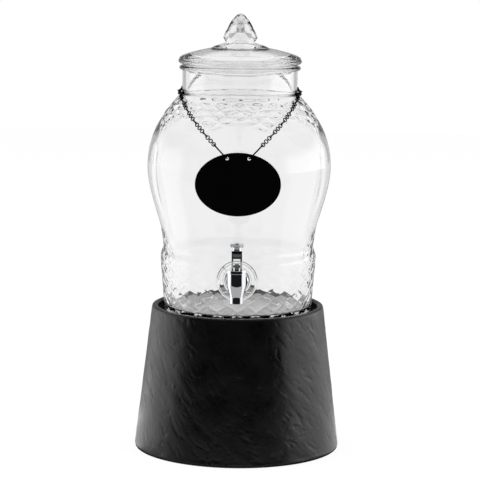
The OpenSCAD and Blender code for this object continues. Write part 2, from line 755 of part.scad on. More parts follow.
// Lever: a fork whose cheeks are cams that rock on the bonnet, under a flat upright grip
module lever() {
    color([0.8, 0.81, 0.83])
        translate([0, -barrel_y, pin_z])
            difference() {
                rotate([90, 0, -90])
                    linear_extrude(height = lever_width, center = true)
                        polygon(lever_outline);
                translate([-slot_half, -lever_height, -2 * pin_height])
                    cube([2 * slot_half, 2 * lever_height, 2 * pin_height + fork_height]);
                rotate([0, 90, 0])
                    cylinder(d = pin_d + 2 * fit_gap, h = 2 * lever_width, center = true);
                for (side = [-1, 1])
                    translate([side * lever_width / 2, 0, lever_height])
                        rotate([0, 45, 0])
                            cube([1.6, 4 * lever_depth, 1.6], center = true);
            }
}

// Pin through the fork and the tongue
module lever_pin() {
    color([0.7, 0.71, 0.72])
        translate([0, -barrel_y, pin_z])
            rotate([0, 90, 0])
                cylinder(d = pin_d, h = lever_width - 0.6, center = true);
}

// Knob: a foot, a waist and a faceted crown, pressed on the lever's top
module lever_knob() {
    foot = knob_foot_d / 2;
    z0 = pin_z + lever_height;
    color([0.8, 0.81, 0.83])
        translate([0, -barrel_y, z0])
            rotate_extrude()
                polygon([[0, 0], [foot, 0], [foot, 1.4], [foot - 0.9, 2.3], [foot - 0.4, 3.4],
                    [knob_d / 2 - 0.5, knob_height * 0.5], [knob_d / 2, knob_height * 0.58],
                    [knob_d / 2 - 0.7, knob_height * 0.68], [knob_d * 0.29, knob_height * 0.9],
                    [knob_d * 0.16, knob_height], [0, knob_height]]);
}

// Chain: round links, each turned a quarter turn from the last, evenly spaced along the chain's course
module neck_chain() {
    color([0.05, 0.05, 0.055])
        for (k = [0:link_count - 1])
            let (a = lookup(k * link_step, angle_table), along = chain_along(a),
                out = unit(chain_out(a) - (chain_out(a) * along) * along),
                axle = k % 2 == 0 ? out : cross(along, out), third = cross(axle, along), p = chain_at(a))
            multmatrix([
                [along[0], third[0], axle[0], p[0]],
                [along[1], third[1], axle[1], p[1]],
                [along[2], third[2], axle[2], p[2]],
                [0, 0, 0, 1]])
                rotate_extrude()
                    translate([k % 2 == 0 ? link_r : joint_r, 0])
                        circle(d = link_wire);
}

// Wire hooks, mirror images of each other
module right_hook() {
    color([0.05, 0.05, 0.055])
        tube(hook_path, hook_r, 8);
}

module left_hook() {
    color([0.05, 0.05, 0.055])
        mirror([1, 0, 0])
            tube(hook_path, hook_r, 8);
}

// Oval plate, rounded at the front, with a hole for each hook
module chalk_tag() {
    color([0.03, 0.03, 0.03])
        translate([0, -tag_back, tag_z])
            rotate([90, 0, 0])
                difference() {
                    union() {
                        linear_extrude(height = tag_thick - tag_round)
                            oval(tag_width / 2, tag_tall / 2);
                        translate([0, 0, tag_thick - tag_round])
                            linear_extrude(height = tag_round)
                                oval(tag_width / 2 - tag_round, tag_tall / 2 - tag_round);
                    }
                    for (side = [-1, 1])
                        translate([side * hole_spacing / 2, tag_tall / 2 - hole_drop, -1])
                            cylinder(d = tag_hole_d, h = tag_thick + 2);
                }
}

module oval(a, b) {
    polygon([for (i = [0:71]) [a * cos(5 * i), b * sin(5 * i)]]);
}

stand();
felt_ring();
glass_jar();
glass_lid();
tap_body();
front_gasket();
rear_gasket();
shank_nut();
bonnet();
stem_seal();
valve_stem();
stopper();
closing_spring();
lever();
lever_pin();
lever_knob();
neck_chain();
left_hook();
right_hook();
chalk_tag();
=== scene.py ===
"""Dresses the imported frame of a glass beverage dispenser.

A quilted glass jar with a lid and a lever tap stands in a cast stand, with a chalkboard tag on a chain
round its neck. Sizes in the classes are millimetres, as in the part's source; meshes are in metres.
"""
import logging
import math
from collections.abc import Callable
from dataclasses import dataclass
from enum import Enum

import bmesh
import bpy
import numpy as np
from mathutils import Matrix, Vector


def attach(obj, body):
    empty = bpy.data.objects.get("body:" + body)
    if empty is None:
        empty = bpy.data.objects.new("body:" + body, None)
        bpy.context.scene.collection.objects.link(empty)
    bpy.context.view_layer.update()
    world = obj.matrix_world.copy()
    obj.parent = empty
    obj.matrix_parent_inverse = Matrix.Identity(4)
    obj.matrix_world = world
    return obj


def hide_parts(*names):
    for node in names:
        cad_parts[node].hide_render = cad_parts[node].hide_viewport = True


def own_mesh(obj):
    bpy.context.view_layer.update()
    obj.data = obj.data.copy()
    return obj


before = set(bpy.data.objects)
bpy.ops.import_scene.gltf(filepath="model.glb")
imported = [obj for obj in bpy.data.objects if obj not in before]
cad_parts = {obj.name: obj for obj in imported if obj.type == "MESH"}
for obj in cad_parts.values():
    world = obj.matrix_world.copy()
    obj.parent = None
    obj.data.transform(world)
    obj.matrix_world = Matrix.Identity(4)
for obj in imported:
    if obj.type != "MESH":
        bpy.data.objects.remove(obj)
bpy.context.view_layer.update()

LOG = logging.getLogger("dispenser")
MM = 0.001
TURNS = 96
Profile = list[tuple[float, float]]
Point = tuple[float, float, float]
Faces = list[tuple[int, ...]]


# Small tools


def linear(code: str) -> tuple[float, float, float, float]:
    """Turns an sRGB hex value into a linear colour.

    Args:
        code: Six hex digits after a hash sign.

    Returns:
        Red, green, blue and alpha, linear.
    """
    parts = [int(code[i:i + 2], 16) / 255 for i in (1, 3, 5)]
    return tuple(c / 12.92 if c <= 0.04045 else ((c + 0.055) / 1.055) ** 2.4 for c in parts) + (1.0,)


def add_node(tree: bpy.types.NodeTree, kind: str, inputs: dict | None = None,
             **settings: object) -> bpy.types.Node:
    """Adds a node with its settings, its values and its links.

    Args:
        tree: Tree that gets the node.
        kind: The node's type name.
        inputs: Value, output socket or list of output sockets for each input, by name or number.
        **settings: Attributes of the node.

    Returns:
        The new node.
    """
    node = tree.nodes.new(kind)
    for key, value in settings.items():
        setattr(node, key, value)
    for key, value in (inputs or {}).items():
        for source in value if isinstance(value, list) else [value]:
            if isinstance(source, bpy.types.NodeSocket):
                tree.links.new(source, node.inputs[key])
            else:
                node.inputs[key].default_value = source
    return node


def smooth_step(low: float | np.ndarray, high: float | np.ndarray, x: np.ndarray) -> np.ndarray:
    """Rises smoothly from 0 at low to 1 at high.

    Args:
        low: Where the rise starts.
        high: Where the rise ends.
        x: Values to map.

    Returns:
        The mapped values.
    """
    t = np.clip((x - low) / (high - low), 0.0, 1.0)
    return t * t * (3 - 2 * t)


def new_object(name: str, mesh: bpy.types.Mesh) -> bpy.types.Object:
    """Links a mesh into the scene as an object at the origin.

    Args:
        name: The piece's name.
        mesh: Its mesh, in metres.

    Returns:
        The object.
    """
    piece = bpy.data.objects.new(name, mesh)
    bpy.context.scene.collection.objects.link(piece)
    return piece


def new_mesh(name: str, points: np.ndarray, faces: Faces) -> bpy.types.Mesh:
    """Makes a mesh from points in millimetres.

    Args:
        name: The mesh's name.
        points: One row of three numbers a point.
        faces: Corner numbers of each face.

    Returns:
        The mesh, in metres.
    """
    mesh = bpy.data.meshes.new(name)
    mesh.from_pydata((np.asarray(points, float) * MM).tolist(), [], faces)
    mesh.update()
    return mesh


def rework(mesh: bpy.types.Mesh, change: Callable[[bmesh.types.BMesh], object]) -> None:
    """Edits a mesh in place.

    Args:
        mesh: The mesh.
        change: What is done to its editable form.
    """
    work = bmesh.new()
    work.from_mesh(mesh)
    change(work)
    work.to_mesh(mesh)
    work.free()


def bake(piece: bpy.types.Object) -> bpy.types.Object:
    """Turns a piece with modifiers into a plain mesh.

    Args:
        piece: The object to bake.

    Returns:
        The same object, without modifiers.
    """
    graph = bpy.context.evaluated_depsgraph_get()
    mesh = bpy.data.meshes.new_from_object(piece.evaluated_get(graph))
    piece.modifiers.clear()
    piece.data = mesh
    return piece


def combine(base: bpy.types.Object, tool: bpy.types.Object, operation: str) -> None:
    """Joins a tool to a piece or cuts it out, and removes the tool.

    Args:
        base: The piece that stays.
        tool: A closed object.
        operation: UNION or DIFFERENCE.
    """
    cut = base.modifiers.new("combine", "BOOLEAN")
    cut.solver = "EXACT"
    cut.operation = operation
    cut.object = tool
    bake(base)
    mesh = tool.data
    bpy.data.objects.remove(tool)
    bpy.data.meshes.remove(mesh)


def grid_faces(rows: list[list[int]], closed: bool) -> Faces:
    """Joins rings of points to faces, and leaves out doubled corners at a pole.

    Args:
        rows: Point numbers of each ring.
        closed: True joins the last ring to the first.

    Returns:
        The faces' corner numbers.
    """
    faces = []
    pairs = list(zip(rows, rows[1:])) + ([(rows[-1], rows[0])] if closed else [])
    for low, high in pairs:
        for k in range(len(low)):
            q = (k + 1) % len(low)
            corners = list(dict.fromkeys((low[k], low[q], high[q], high[k])))
            if len(corners) > 2:
                faces.append(tuple(corners))
    return faces


def revolve(name: str, profile: Profile, turns: int, closed: bool = False) -> bpy.types.Mesh:
    """Turns a profile about the Z axis.

    The outside of the profile runs upwards, so the faces point outwards.

    Args:
        name: The mesh's name.
        profile: Radius and height of each point, in millimetres.
        turns: Number of points round the axis.
        closed: True where the profile is a ring that doesn't reach the axis.

    Returns:
        The mesh.
    """
    angles = np.arange(turns) * 2 * math.pi / turns
    points: list[Point] = []
    rows: list[list[int]] = []
    for radius, height in profile:
        first = len(points)
        if radius < 1e-6:
            points.append((0.0, 0.0, height))
            rows.append([first] * turns)
        else:
            points.extend(zip(radius * np.sin(angles), -radius * np.cos(angles), [height] * turns))
            rows.append(list(range(first, first + turns)))
    return new_mesh(name, np.array(points), grid_faces(rows, closed))


def revolve_level(name: str, profile: Profile, axis_z: float) -> bpy.types.Object:
    """Turns a profile about a level axis, with its heights towards the front.

    Args:
        name: The object's name.
        profile: Radius and distance to the front of each point.
        axis_z: Height of the axis.

    Returns:
        The object.
    """
    mesh = revolve(name, profile, TURNS)
    mesh.transform(Matrix.Translation((0, 0, axis_z * MM)) @ Matrix.Rotation(math.pi / 2, 4, "X"))
    return new_object(name, mesh)


def facet_ring(radius: float, z: float, count: int, turn: float) -> list[Point]:
    """Lists the corners of a ring of facets.

    Args:
        radius: Distance of the corners from the axis.
        z: Their height.
        count: Number of facets.
        turn: Share of a facet by which the ring is turned.

    Returns:
        The corners.
    """
    angles = [2 * math.pi * (k + turn) / count for k in range(count)]
    return [(radius * math.sin(a), -radius * math.cos(a), z) for a in angles]


def facet_collar(edge: list[int], start: int, corners: list[int]) -> Faces:
    """Joins a round ring to a ring of facets.

    Args:
        edge: Point numbers of the round ring.
        start: Which of them lies at the first corner.
        corners: Point numbers of the ring of facets.

    Returns:
        The faces between them.
    """
    per = len(edge) // len(corners)
    faces: Faces = []
    for k, left in enumerate(corners):
        right = corners[(k + 1) % len(corners)]
        arc = [edge[(start + k * per + i) % len(edge)] for i in range(per + 1)]
        faces += [(arc[i], arc[i + 1], left) for i in range(per // 2)]
        faces.append((left, arc[per // 2], right))
        faces += [(arc[i], arc[i + 1], right) for i in range(per // 2, per)]
    return faces


def take_apart(mesh: bpy.types.Mesh) -> tuple[list[Point], Faces]:
    """Reads a mesh back into lists, and removes it.

    Args:
        mesh: The mesh.

    Returns:
        Its points in millimetres and its faces.
    """
    points = [tuple(v.co / MM) for v in mesh.vertices]
    faces = [tuple(p.vertices) for p in mesh.polygons]
    bpy.data.meshes.remove(mesh)
    return points, faces


def bend(start: np.ndarray, corner: np.ndarray, end: np.ndarray, steps: int) -> list[np.ndarray]:
    """Lists points on a smooth bend.

    Args:
        start: First point.
        corner: Point that the bend cuts off.
        end: Last point.
        steps: Number of chords.

    Returns:
        The points, with both ends.
    """
    return [(1 - t) ** 2 * start + 2 * t * (1 - t) * corner + t * t * end
            for t in np.linspace(0, 1, steps + 1)]


def fillet(corner: tuple[float, float], before: tuple[float, float], after: tuple[float, float],
           size: float) -> Profile:
    """Rounds one corner of a profile.

    Args:
        corner: The corner.
        before: The point before it.
        after: The point after it.
        size: Distance from the corner to where the rounding starts.

    Returns:
        Points that take the corner's place.
    """
    c, b, a = (np.array(p, float) for p in (corner, before, after))
    start = c + (b - c) * min(0.49, size / np.linalg.norm(b - c))
    end = c + (a - c) * min(0.49, size / np.linalg.norm(a - c))
    return [tuple(p) for p in bend(start, c, end, 4)]


def soften(profile: Profile, sizes: dict[int, float]) -> Profile:
    """Rounds the named corners of a profile.

    Args:
        profile: Radius and height of each point.
        sizes: Rounding of each corner, by its number.

    Returns:
        The profile with rounded corners.
    """
    out: Profile = []
    for i, point in enumerate(profile):
        if i in sizes:
            out.extend(fillet(point, profile[i - 1], profile[(i + 1) % len(profile)], sizes[i]))
        else:
            out.append(point)
    return out


def smooth_copy(node: str, name: str) -> bpy.types.Object:
    """Copies a CAD node's mesh with its corners merged, for smooth shading.

    Args:
        node: The CAD node.
        name: The new piece's name.

    Returns:
        The new object.
    """
    def merge(work: bmesh.types.BMesh) -> None:
        """Merges corners that meet and joins triangles that lie flat."""
        bmesh.ops.remove_doubles(work, verts=work.verts, dist=1e-6)
        bmesh.ops.dissolve_limit(work, angle_limit=math.radians(0.5), verts=work.verts, edges=work.edges)

    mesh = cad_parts[node].data.copy()
    mesh.name = name
    rework(mesh, merge)
    return new_object(name, mesh)


# Node rules


class Socket(Enum):
    """Kinds of input that a rule can have."""

    NUMBER = "NodeSocketFloat"
    COUNT = "NodeSocketInt"
    FINISH = "NodeSocketMaterial"


@dataclass
class Rule:
    """A Geometry Nodes tree with named inputs that is run once on a mesh."""

    name: str
    inputs: dict[str, Socket]

    def __post_init__(self) -> None:
        """Makes the empty tree with its inputs and its output."""
        self.tree = bpy.data.node_groups.new(self.name, "GeometryNodeTree")
        face = self.tree.interface
        face.new_socket("Geometry", in_out="INPUT", socket_type="NodeSocketGeometry")
        for name, kind in self.inputs.items():
            face.new_socket(name, in_out="INPUT", socket_type=kind.value)
        face.new_socket("Geometry", in_out="OUTPUT", socket_type="NodeSocketGeometry")
        self.given = add_node(self.tree, "NodeGroupInput").outputs

    def close(self, geometry: bpy.types.NodeSocket) -> "Rule":
        """Ends the tree in real geometry with its material.

        Args:
            geometry: What the rule has made.

        Returns:
            The rule itself.
        """
        tree = self.tree
        real = add_node(tree, "GeometryNodeRealizeInstances", {"Geometry": geometry})
        dressed = add_node(tree, "GeometryNodeSetMaterial",
                           {"Geometry": real.outputs["Geometry"], "Material": self.given["Finish"]})
        add_node(tree, "NodeGroupOutput", {"Geometry": dressed.outputs["Geometry"]})
        return self

    def run(self, name: str, mesh: bpy.types.Mesh, values: dict[str, object]) -> bpy.types.Object:
        """Runs the rule on a mesh.

        Args:
            name: The new piece's name.
            mesh: What the rule starts from.
            values: Value of each named input.

        Returns:
            The piece as a plain mesh.
        """
        piece = new_object(name, mesh)
        step = piece.modifiers.new(self.name, "NODES")
        step.node_group = self.tree
        for item in self.tree.interface.items_tree:
            if item.in_out == "INPUT" and item.name in values:
                step[item.identifier] = values[item.name]
        return bake(piece)


def wire_rule() -> Rule:
    """Makes the rule that draws a round wire along a line of points.

    Returns:
        The rule.
    """
    rule = Rule("drawn_wire", {"Wire Radius": Socket.NUMBER, "Sides": Socket.COUNT, "Finish": Socket.FINISH})
    tree, given = rule.tree, rule.given
    course = add_node(tree, "GeometryNodeMeshToCurve", {"Mesh": given["Geometry"]})
    section = add_node(tree, "GeometryNodeCurvePrimitiveCircle",
                       {"Resolution": given["Sides"], "Radius": given["Wire Radius"]})
    wire = add_node(tree, "GeometryNodeCurveToMesh",
                    {"Curve": course.outputs["Curve"], "Profile Curve": section.outputs["Curve"],
                     "Fill Caps": True})
    return rule.close(wire.outputs["Mesh"])


def link_rule() -> Rule:
    """Makes the rule that sets a large or a small ring on each point.

    Returns:
        The rule. The point attributes axle and along turn each ring, and small tells which size it has.
    """
    rule = Rule("linked_rings", {"Large Ring": Socket.NUMBER, "Small Ring": Socket.NUMBER,
                                 "Large Wire": Socket.NUMBER, "Small Wire": Socket.NUMBER,
                                 "Finish": Socket.FINISH})
    tree, given = rule.tree, rule.given
    axle, along, small = (
        add_node(tree, "GeometryNodeInputNamedAttribute", {"Name": name}, data_type=kind).outputs["Attribute"]
        for name, kind in (("axle", "FLOAT_VECTOR"), ("along", "FLOAT_VECTOR"), ("small", "BOOLEAN")))
    turn = add_node(tree, "FunctionNodeAxesToRotation", {0: axle, 1: along}, primary_axis="Z",
                    secondary_axis="X")
    large = add_node(tree, "FunctionNodeBooleanMath", {0: small}, operation="NOT")
    links = []
    for size, corners, chosen in (("Large", 14, large.outputs[0]), ("Small", 12, small)):
        ring = add_node(tree, "GeometryNodeCurvePrimitiveCircle",
                        {"Resolution": corners, "Radius": given[size + " Ring"]})
        section = add_node(tree, "GeometryNodeCurvePrimitiveCircle",
                           {"Resolution": 5, "Radius": given[size + " Wire"]})
        link = add_node(tree, "GeometryNodeCurveToMesh",
                        {"Curve": ring.outputs["Curve"], "Profile Curve": section.outputs["Curve"]})
        placed = add_node(tree, "GeometryNodeInstanceOnPoints",
                          {"Points": given["Geometry"], "Selection": chosen, "Instance": link.outputs["Mesh"],
                           "Rotation": turn.outputs[0]})
        links.append(placed.outputs["Instances"])
    both = add_node(tree, "GeometryNodeJoinGeometry", {"Geometry": links})
    return rule.close(both.outputs["Geometry"])


def riven_rule() -> Rule:
    """Makes the rule that gives a cast face the shallow slanting chips of split slate.

    Returns:
        The rule. The point attribute riven tells how much of the relief each place gets.
    """
    stretch, lean = (1.0, 1.0, 0.6), (0.02, 0.02, 0.02)
    plates, ledge_share = 3.2, 0.45
    plate_rise, swell_rise, middle = 0.13, 0.45, 0.58
    rule = Rule("riven_face", {"Relief": Socket.NUMBER, "Chip Scale": Socket.NUMBER,
                               "Swell Scale": Socket.NUMBER, "Twist": Socket.NUMBER,
                               "Finish": Socket.FINISH})
    tree, given = rule.tree, rule.given
    spot = add_node(tree, "GeometryNodeInputPosition").outputs["Position"]
    height = add_node(tree, "ShaderNodeSeparateXYZ", {0: spot}).outputs["Z"]
    angle = add_node(tree, "ShaderNodeMath", {0: height, 1: given["Twist"]}, operation="MULTIPLY").outputs[0]
    turned = add_node(tree, "ShaderNodeVectorRotate", {"Vector": spot, "Angle": angle},
                      rotation_type="Z_AXIS")
    drawn = add_node(tree, "ShaderNodeVectorMath", {0: turned.outputs[0], 1: stretch},
                     operation="MULTIPLY").outputs[0]
    swell = add_node(tree, "ShaderNodeTexNoise",
                     {"Vector": drawn, "Scale": given["Swell Scale"], "Detail": 1.0,
                      "Distortion": 0.5}).outputs
    slant = add_node(tree, "ShaderNodeVectorMath", {0: swell["Color"], 1: lean},
                     operation="MULTIPLY").outputs[0]
    drift = add_node(tree, "ShaderNodeVectorMath", {0: drawn, 1: slant}, operation="ADD").outputs[0]
    chips = add_node(tree, "ShaderNodeTexNoise",
                     {"Vector": drift, "Scale": given["Chip Scale"], "Detail": 2.0, "Roughness": 0.5,
                      "Distortion": 0.7}).outputs[0]
    # Each chip is cut into plates: a whole number of steps, and a short ledge up to the next one
    cut = add_node(tree, "ShaderNodeMath", {0: chips, 1: plates}, operation="MULTIPLY").outputs[0]
    whole = add_node(tree, "ShaderNodeMath", {0: cut}, operation="FLOOR").outputs[0]
    rest = add_node(tree, "ShaderNodeMath", {0: cut}, operation="FRACT").outputs[0]
    ledge = add_node(tree, "ShaderNodeMapRange", {"Value": rest, "From Max": ledge_share},
                     interpolation_type="SMOOTHSTEP").outputs[0]
    split = add_node(tree, "ShaderNodeMath", {0: whole, 1: ledge}, operation="ADD").outputs[0]
    share = add_node(tree, "ShaderNodeMath", {0: split, 1: plate_rise}, operation="MULTIPLY").outputs[0]
    total = add_node(tree, "ShaderNodeMath", {0: swell[0], 1: swell_rise, 2: share},
                     operation="MULTIPLY_ADD").outputs[0]
    centred = add_node(tree, "ShaderNodeMath", {0: total, 1: middle}, operation="SUBTRACT").outputs[0]
    mask = add_node(tree, "GeometryNodeInputNamedAttribute", {"Name": "riven"}, data_type="FLOAT")
    depth = add_node(tree, "ShaderNodeMath", {0: given["Relief"], 1: mask.outputs["Attribute"]},
                     operation="MULTIPLY").outputs[0]
    rise = add_node(tree, "ShaderNodeMath", {0: centred, 1: depth}, operation="MULTIPLY").outputs[0]
    normal = add_node(tree, "GeometryNodeInputNormal").outputs["Normal"]
    shift = add_node(tree, "ShaderNodeVectorMath", {0: normal, "Scale": rise}, operation="SCALE").outputs[0]
    moved = add_node(tree, "GeometryNodeSetPosition", {"Geometry": given["Geometry"], "Offset": shift})
    return rule.close(moved.outputs["Geometry"])


# Finishes


@dataclass(frozen=True)
class Nodes:
    """What a finish adds its detail to: the tree, its shader and output, and object coordinates in metres."""

    tree: bpy.types.NodeTree
    shader: bpy.types.Node
    output: bpy.types.Node
    spot: bpy.types.NodeSocket


@dataclass(frozen=True)
class Finish:
    """A surface: its name, a slot name that is not used, its colour, gloss and metal share."""

    name: str
    slot: str
    colour: str
    roughness: float
    metallic: float = 0.0

    def material(self) -> bpy.types.Material:
        """Builds the material, or finds it where it has been built.

        Returns:
            The material.
        """
        found = bpy.data.materials.get(self.name)
        if found:
            return found
        material = bpy.data.materials.new(self.name)
        material.use_nodes = True
        tree = material.node_tree
        tree.nodes.clear()
        shader = add_node(tree, "ShaderNodeBsdfPrincipled",
                          {"Base Color": linear(self.colour), "Roughness": self.roughness,
                           "Metallic": self.metallic})
        output = add_node(tree, "ShaderNodeOutputMaterial", {"Surface": shader.outputs["BSDF"]})
        self.detail(Nodes(tree, shader, output, add_node(tree, "ShaderNodeTexCoord").outputs["Object"]))
        return material

    def detail(self, nodes: Nodes) -> None:
        """Adds what the plain shader lacks; a subclass says what."""


@dataclass(frozen=True)
class PressedGlass(Finish):
    """Pressed glass, clear, with the slow waves of a pressed face and grey edges."""

    wave_mm: float = 26.0
    wave_depth_mm: float = 0.6
    index: float = 1.5
    body_colour: str = "#dcdedd"
    density: float = 10.0

    def detail(self, nodes: Nodes) -> None:
        """Makes it clear, with faint waves and a little absorption.

        Args:
            nodes: The material's nodes.
        """
        tree, shader = nodes.tree, nodes.shader
        shader.inputs["Transmission Weight"].default_value = 1.0
        shader.inputs["IOR"].default_value = self.index
        waves = add_node(tree, "ShaderNodeTexNoise",
                         {"Vector": nodes.spot, "Scale": 1 / (self.wave_mm * MM), "Detail": 1.0,
                          "Roughness": 0.4})
        bump = add_node(tree, "ShaderNodeBump",
                        {"Height": waves.outputs[0], "Strength": 0.1, "Distance": self.wave_depth_mm * MM})
        tree.links.new(bump.outputs["Normal"], shader.inputs["Normal"])
        body = add_node(tree, "ShaderNodeVolumeAbsorption",
                        {"Color": linear(self.body_colour), "Density": self.density})
        tree.links.new(body.outputs["Volume"], nodes.output.inputs["Volume"])


@dataclass(frozen=True)
class PlatedChrome(Finish):
    """Polished plate, mirror bright, with faint polishing marks in its gloss."""

    mark_mm: float = 3.0
    haze: float = 0.05

    def detail(self, nodes: Nodes) -> None:
        """Varies the gloss a little.

        Args:
            nodes: The material's nodes.
        """
        marks = add_node(nodes.tree, "ShaderNodeTexNoise",
                         {"Vector": nodes.spot, "Scale": 1 / (self.mark_mm * MM), "Detail": 3.0})
        gloss = add_node(nodes.tree, "ShaderNodeMapRange",
                         {"Value": marks.outputs[0], "To Min": self.roughness,
                          "To Max": self.roughness + self.haze})
        nodes.tree.links.new(gloss.outputs[0], nodes.shader.inputs["Roughness"])


@dataclass(frozen=True)
class MottledFinish(Finish):
    """A moulded, painted, drawn or cast surface: one colour broken by a second, with a fine bump."""

    second: str = "#202020"
    mottle_mm: float = 1.5
    spread: tuple[float, float] = (0.35, 0.8)
    bump_mm: float = 0.05
    specular: float = 0.5
    transmission: float = 0.0

    def mottle(self, nodes: Nodes) -> bpy.types.NodeSocket:
        """Breaks the colour.

        Args:
            nodes: The material's nodes.

        Returns:
            The pattern, from 0 to 1.
        """
        tree, shader = nodes.tree, nodes.shader
        shader.inputs["Specular IOR Level"].default_value = self.specular
        shader.inputs["Transmission Weight"].default_value = self.transmission
        pattern = add_node(tree, "ShaderNodeTexNoise",
                           {"Vector": nodes.spot, "Scale": 1 / (self.mottle_mm * MM), "Detail": 4.0,
                            "Roughness": 0.6}).outputs[0]
        colour = add_node(tree, "ShaderNodeValToRGB", {"Fac": pattern})
        for stop, place, code in zip(colour.color_ramp.elements, self.spread, (self.colour, self.second)):
            stop.position = place
            stop.color = linear(code)
        tree.links.new(colour.outputs["Color"], shader.inputs["Base Color"])
        return pattern

    def detail(self, nodes: Nodes) -> None:
        """Breaks the colour and raises the same pattern as a bump.

        Args:
            nodes: The material's nodes.
        """
        bump = add_node(nodes.tree, "ShaderNodeBump",
                        {"Height": self.mottle(nodes), "Strength": 0.3, "Distance": self.bump_mm * MM})
        nodes.tree.links.new(bump.outputs["Normal"], nodes.shader.inputs["Normal"])


@dataclass(frozen=True)
class CastSlate(MottledFinish):
    """A mottled cast whose gloss follows the mottling, with a finer grain in its bump."""

    grain_mm: float = 2.2
    gloss_swing: tuple[float, float] = (-0.06, 0.08)

    def detail(self, nodes: Nodes) -> None:
        """Breaks the colour and the gloss, and raises the grain.

        Args:
            nodes: The material's nodes.
        """
        tree, shader = nodes.tree, nodes.shader
        low, high = self.gloss_swing
        gloss = add_node(tree, "ShaderNodeMapRange",
                         {"Value": self.mottle(nodes), "From Min": 0.3, "From Max": 0.7,
                          "To Min": self.roughness + low, "To Max": self.roughness + high})
        tree.links.new(gloss.outputs[0], shader.inputs["Roughness"])
        grain = add_node(tree, "ShaderNodeTexNoise",
                         {"Vector": nodes.spot, "Scale": 1 / (self.grain_mm * MM), "Detail": 3.0,
                          "Roughness": 0.55})
        bump = add_node(tree, "ShaderNodeBump",
                        {"Height": grain.outputs[0], "Strength": 0.25, "Distance": self.bump_mm * MM})
        tree.links.new(bump.outputs["Normal"], shader.inputs["Normal"])


# Fire-polished soda-lime glass: the eye sees only edges, facets and slow waves, greyer where it is thick
GLASS = PressedGlass("pressed_clear_glass", "pressed_glass", "#ffffff", 0.0)
# Chrome plate on a buffed casting: a hard mirror of what stands round it, with a breath of haze
CHROME = PlatedChrome("polished_chrome_plate", "chrome", "#e4e6e9", 0.03, 1.0)
# Resin and stone dust cast off split slate: black all through and satin, so that only the chips catch light
SLATE = CastSlate("cast_black_slate", "cast_slate", "#040405", 0.3, second="#09090a", mottle_mm=28.0,
                  spread=(0.3, 0.75), bump_mm=0.5, specular=0.42)
# Pressed felt: grey fibres with no shine at all
FELT = MottledFinish("pressed_grey_felt", "felt", "#1c1b1a", 1.0, second="#3a3836", mottle_mm=0.9,
                     bump_mm=0.4, specular=0.1)
# Moulded silicone: milky, lit from within, with a soft shine
SILICONE = MottledFinish("moulded_clear_silicone", "silicone", "#dfe4e4", 0.35, second="#eef1f1",
                         mottle_mm=4.0, transmission=0.55)
# Moulded nylon: warm white with a waxy shine
NYLON = MottledFinish("moulded_natural_nylon", "nylon", "#d9d6cb", 0.45, second="#e9e6dc", mottle_mm=3.0)
# Moulded nitrile rubber: near black and dull
NITRILE = MottledFinish("moulded_black_nitrile", "nitrile", "#0c0c0c", 0.6, second="#1a1a1a", mottle_mm=0.8)
# Drawn stainless steel: bright grey metal with an unsharp mirror
STEEL = MottledFinish("drawn_stainless_steel", "stainless", "#d2d4d6", 0.68, 1.0, second="#dcdee0",
                      mottle_mm=0.7, bump_mm=0.02)
# Chemically blackened wire: a black line with hardly any glint
WIRE = MottledFinish("blackened_steel_wire", "black_wire", "#020202", 0.5, second="#080808", mottle_mm=0.8,
                     specular=0.08)
# Sprayed chalkboard paint: flat black with a fine tooth
CHALKBOARD = MottledFinish("chalkboard_paint", "chalkboard", "#020202", 0.9, second="#060606", mottle_mm=1.2,
                           bump_mm=0.08, specular=0.04)


def dress(piece: bpy.types.Object, finish: Finish, crisp: float, body: str, node: str) -> None:
    """Gives a piece its material and smooth shading, lets it ride on its body and stand for its CAD node.

    Args:
        piece: A finished object.
        finish: Its only material.
        crisp: Edges sharper than this many degrees stay crisp.
        body: Name of the CAD body.
        node: CAD node that it replaces.
    """
    mesh = piece.data
    mesh.materials.clear()
    mesh.materials.append(finish.material())
    mesh.polygons.foreach_set("use_smooth", [True] * len(mesh.polygons))
    mesh.polygons.foreach_set("material_index", [0] * len(mesh.polygons))
    mesh.set_sharp_from_angle(angle=math.radians(crisp))
    mesh.update()
    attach(piece, body)
    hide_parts(node)
    LOG.info("%s rides on %s, %d faces", piece.name, body, len(mesh.polygons))


# Stand


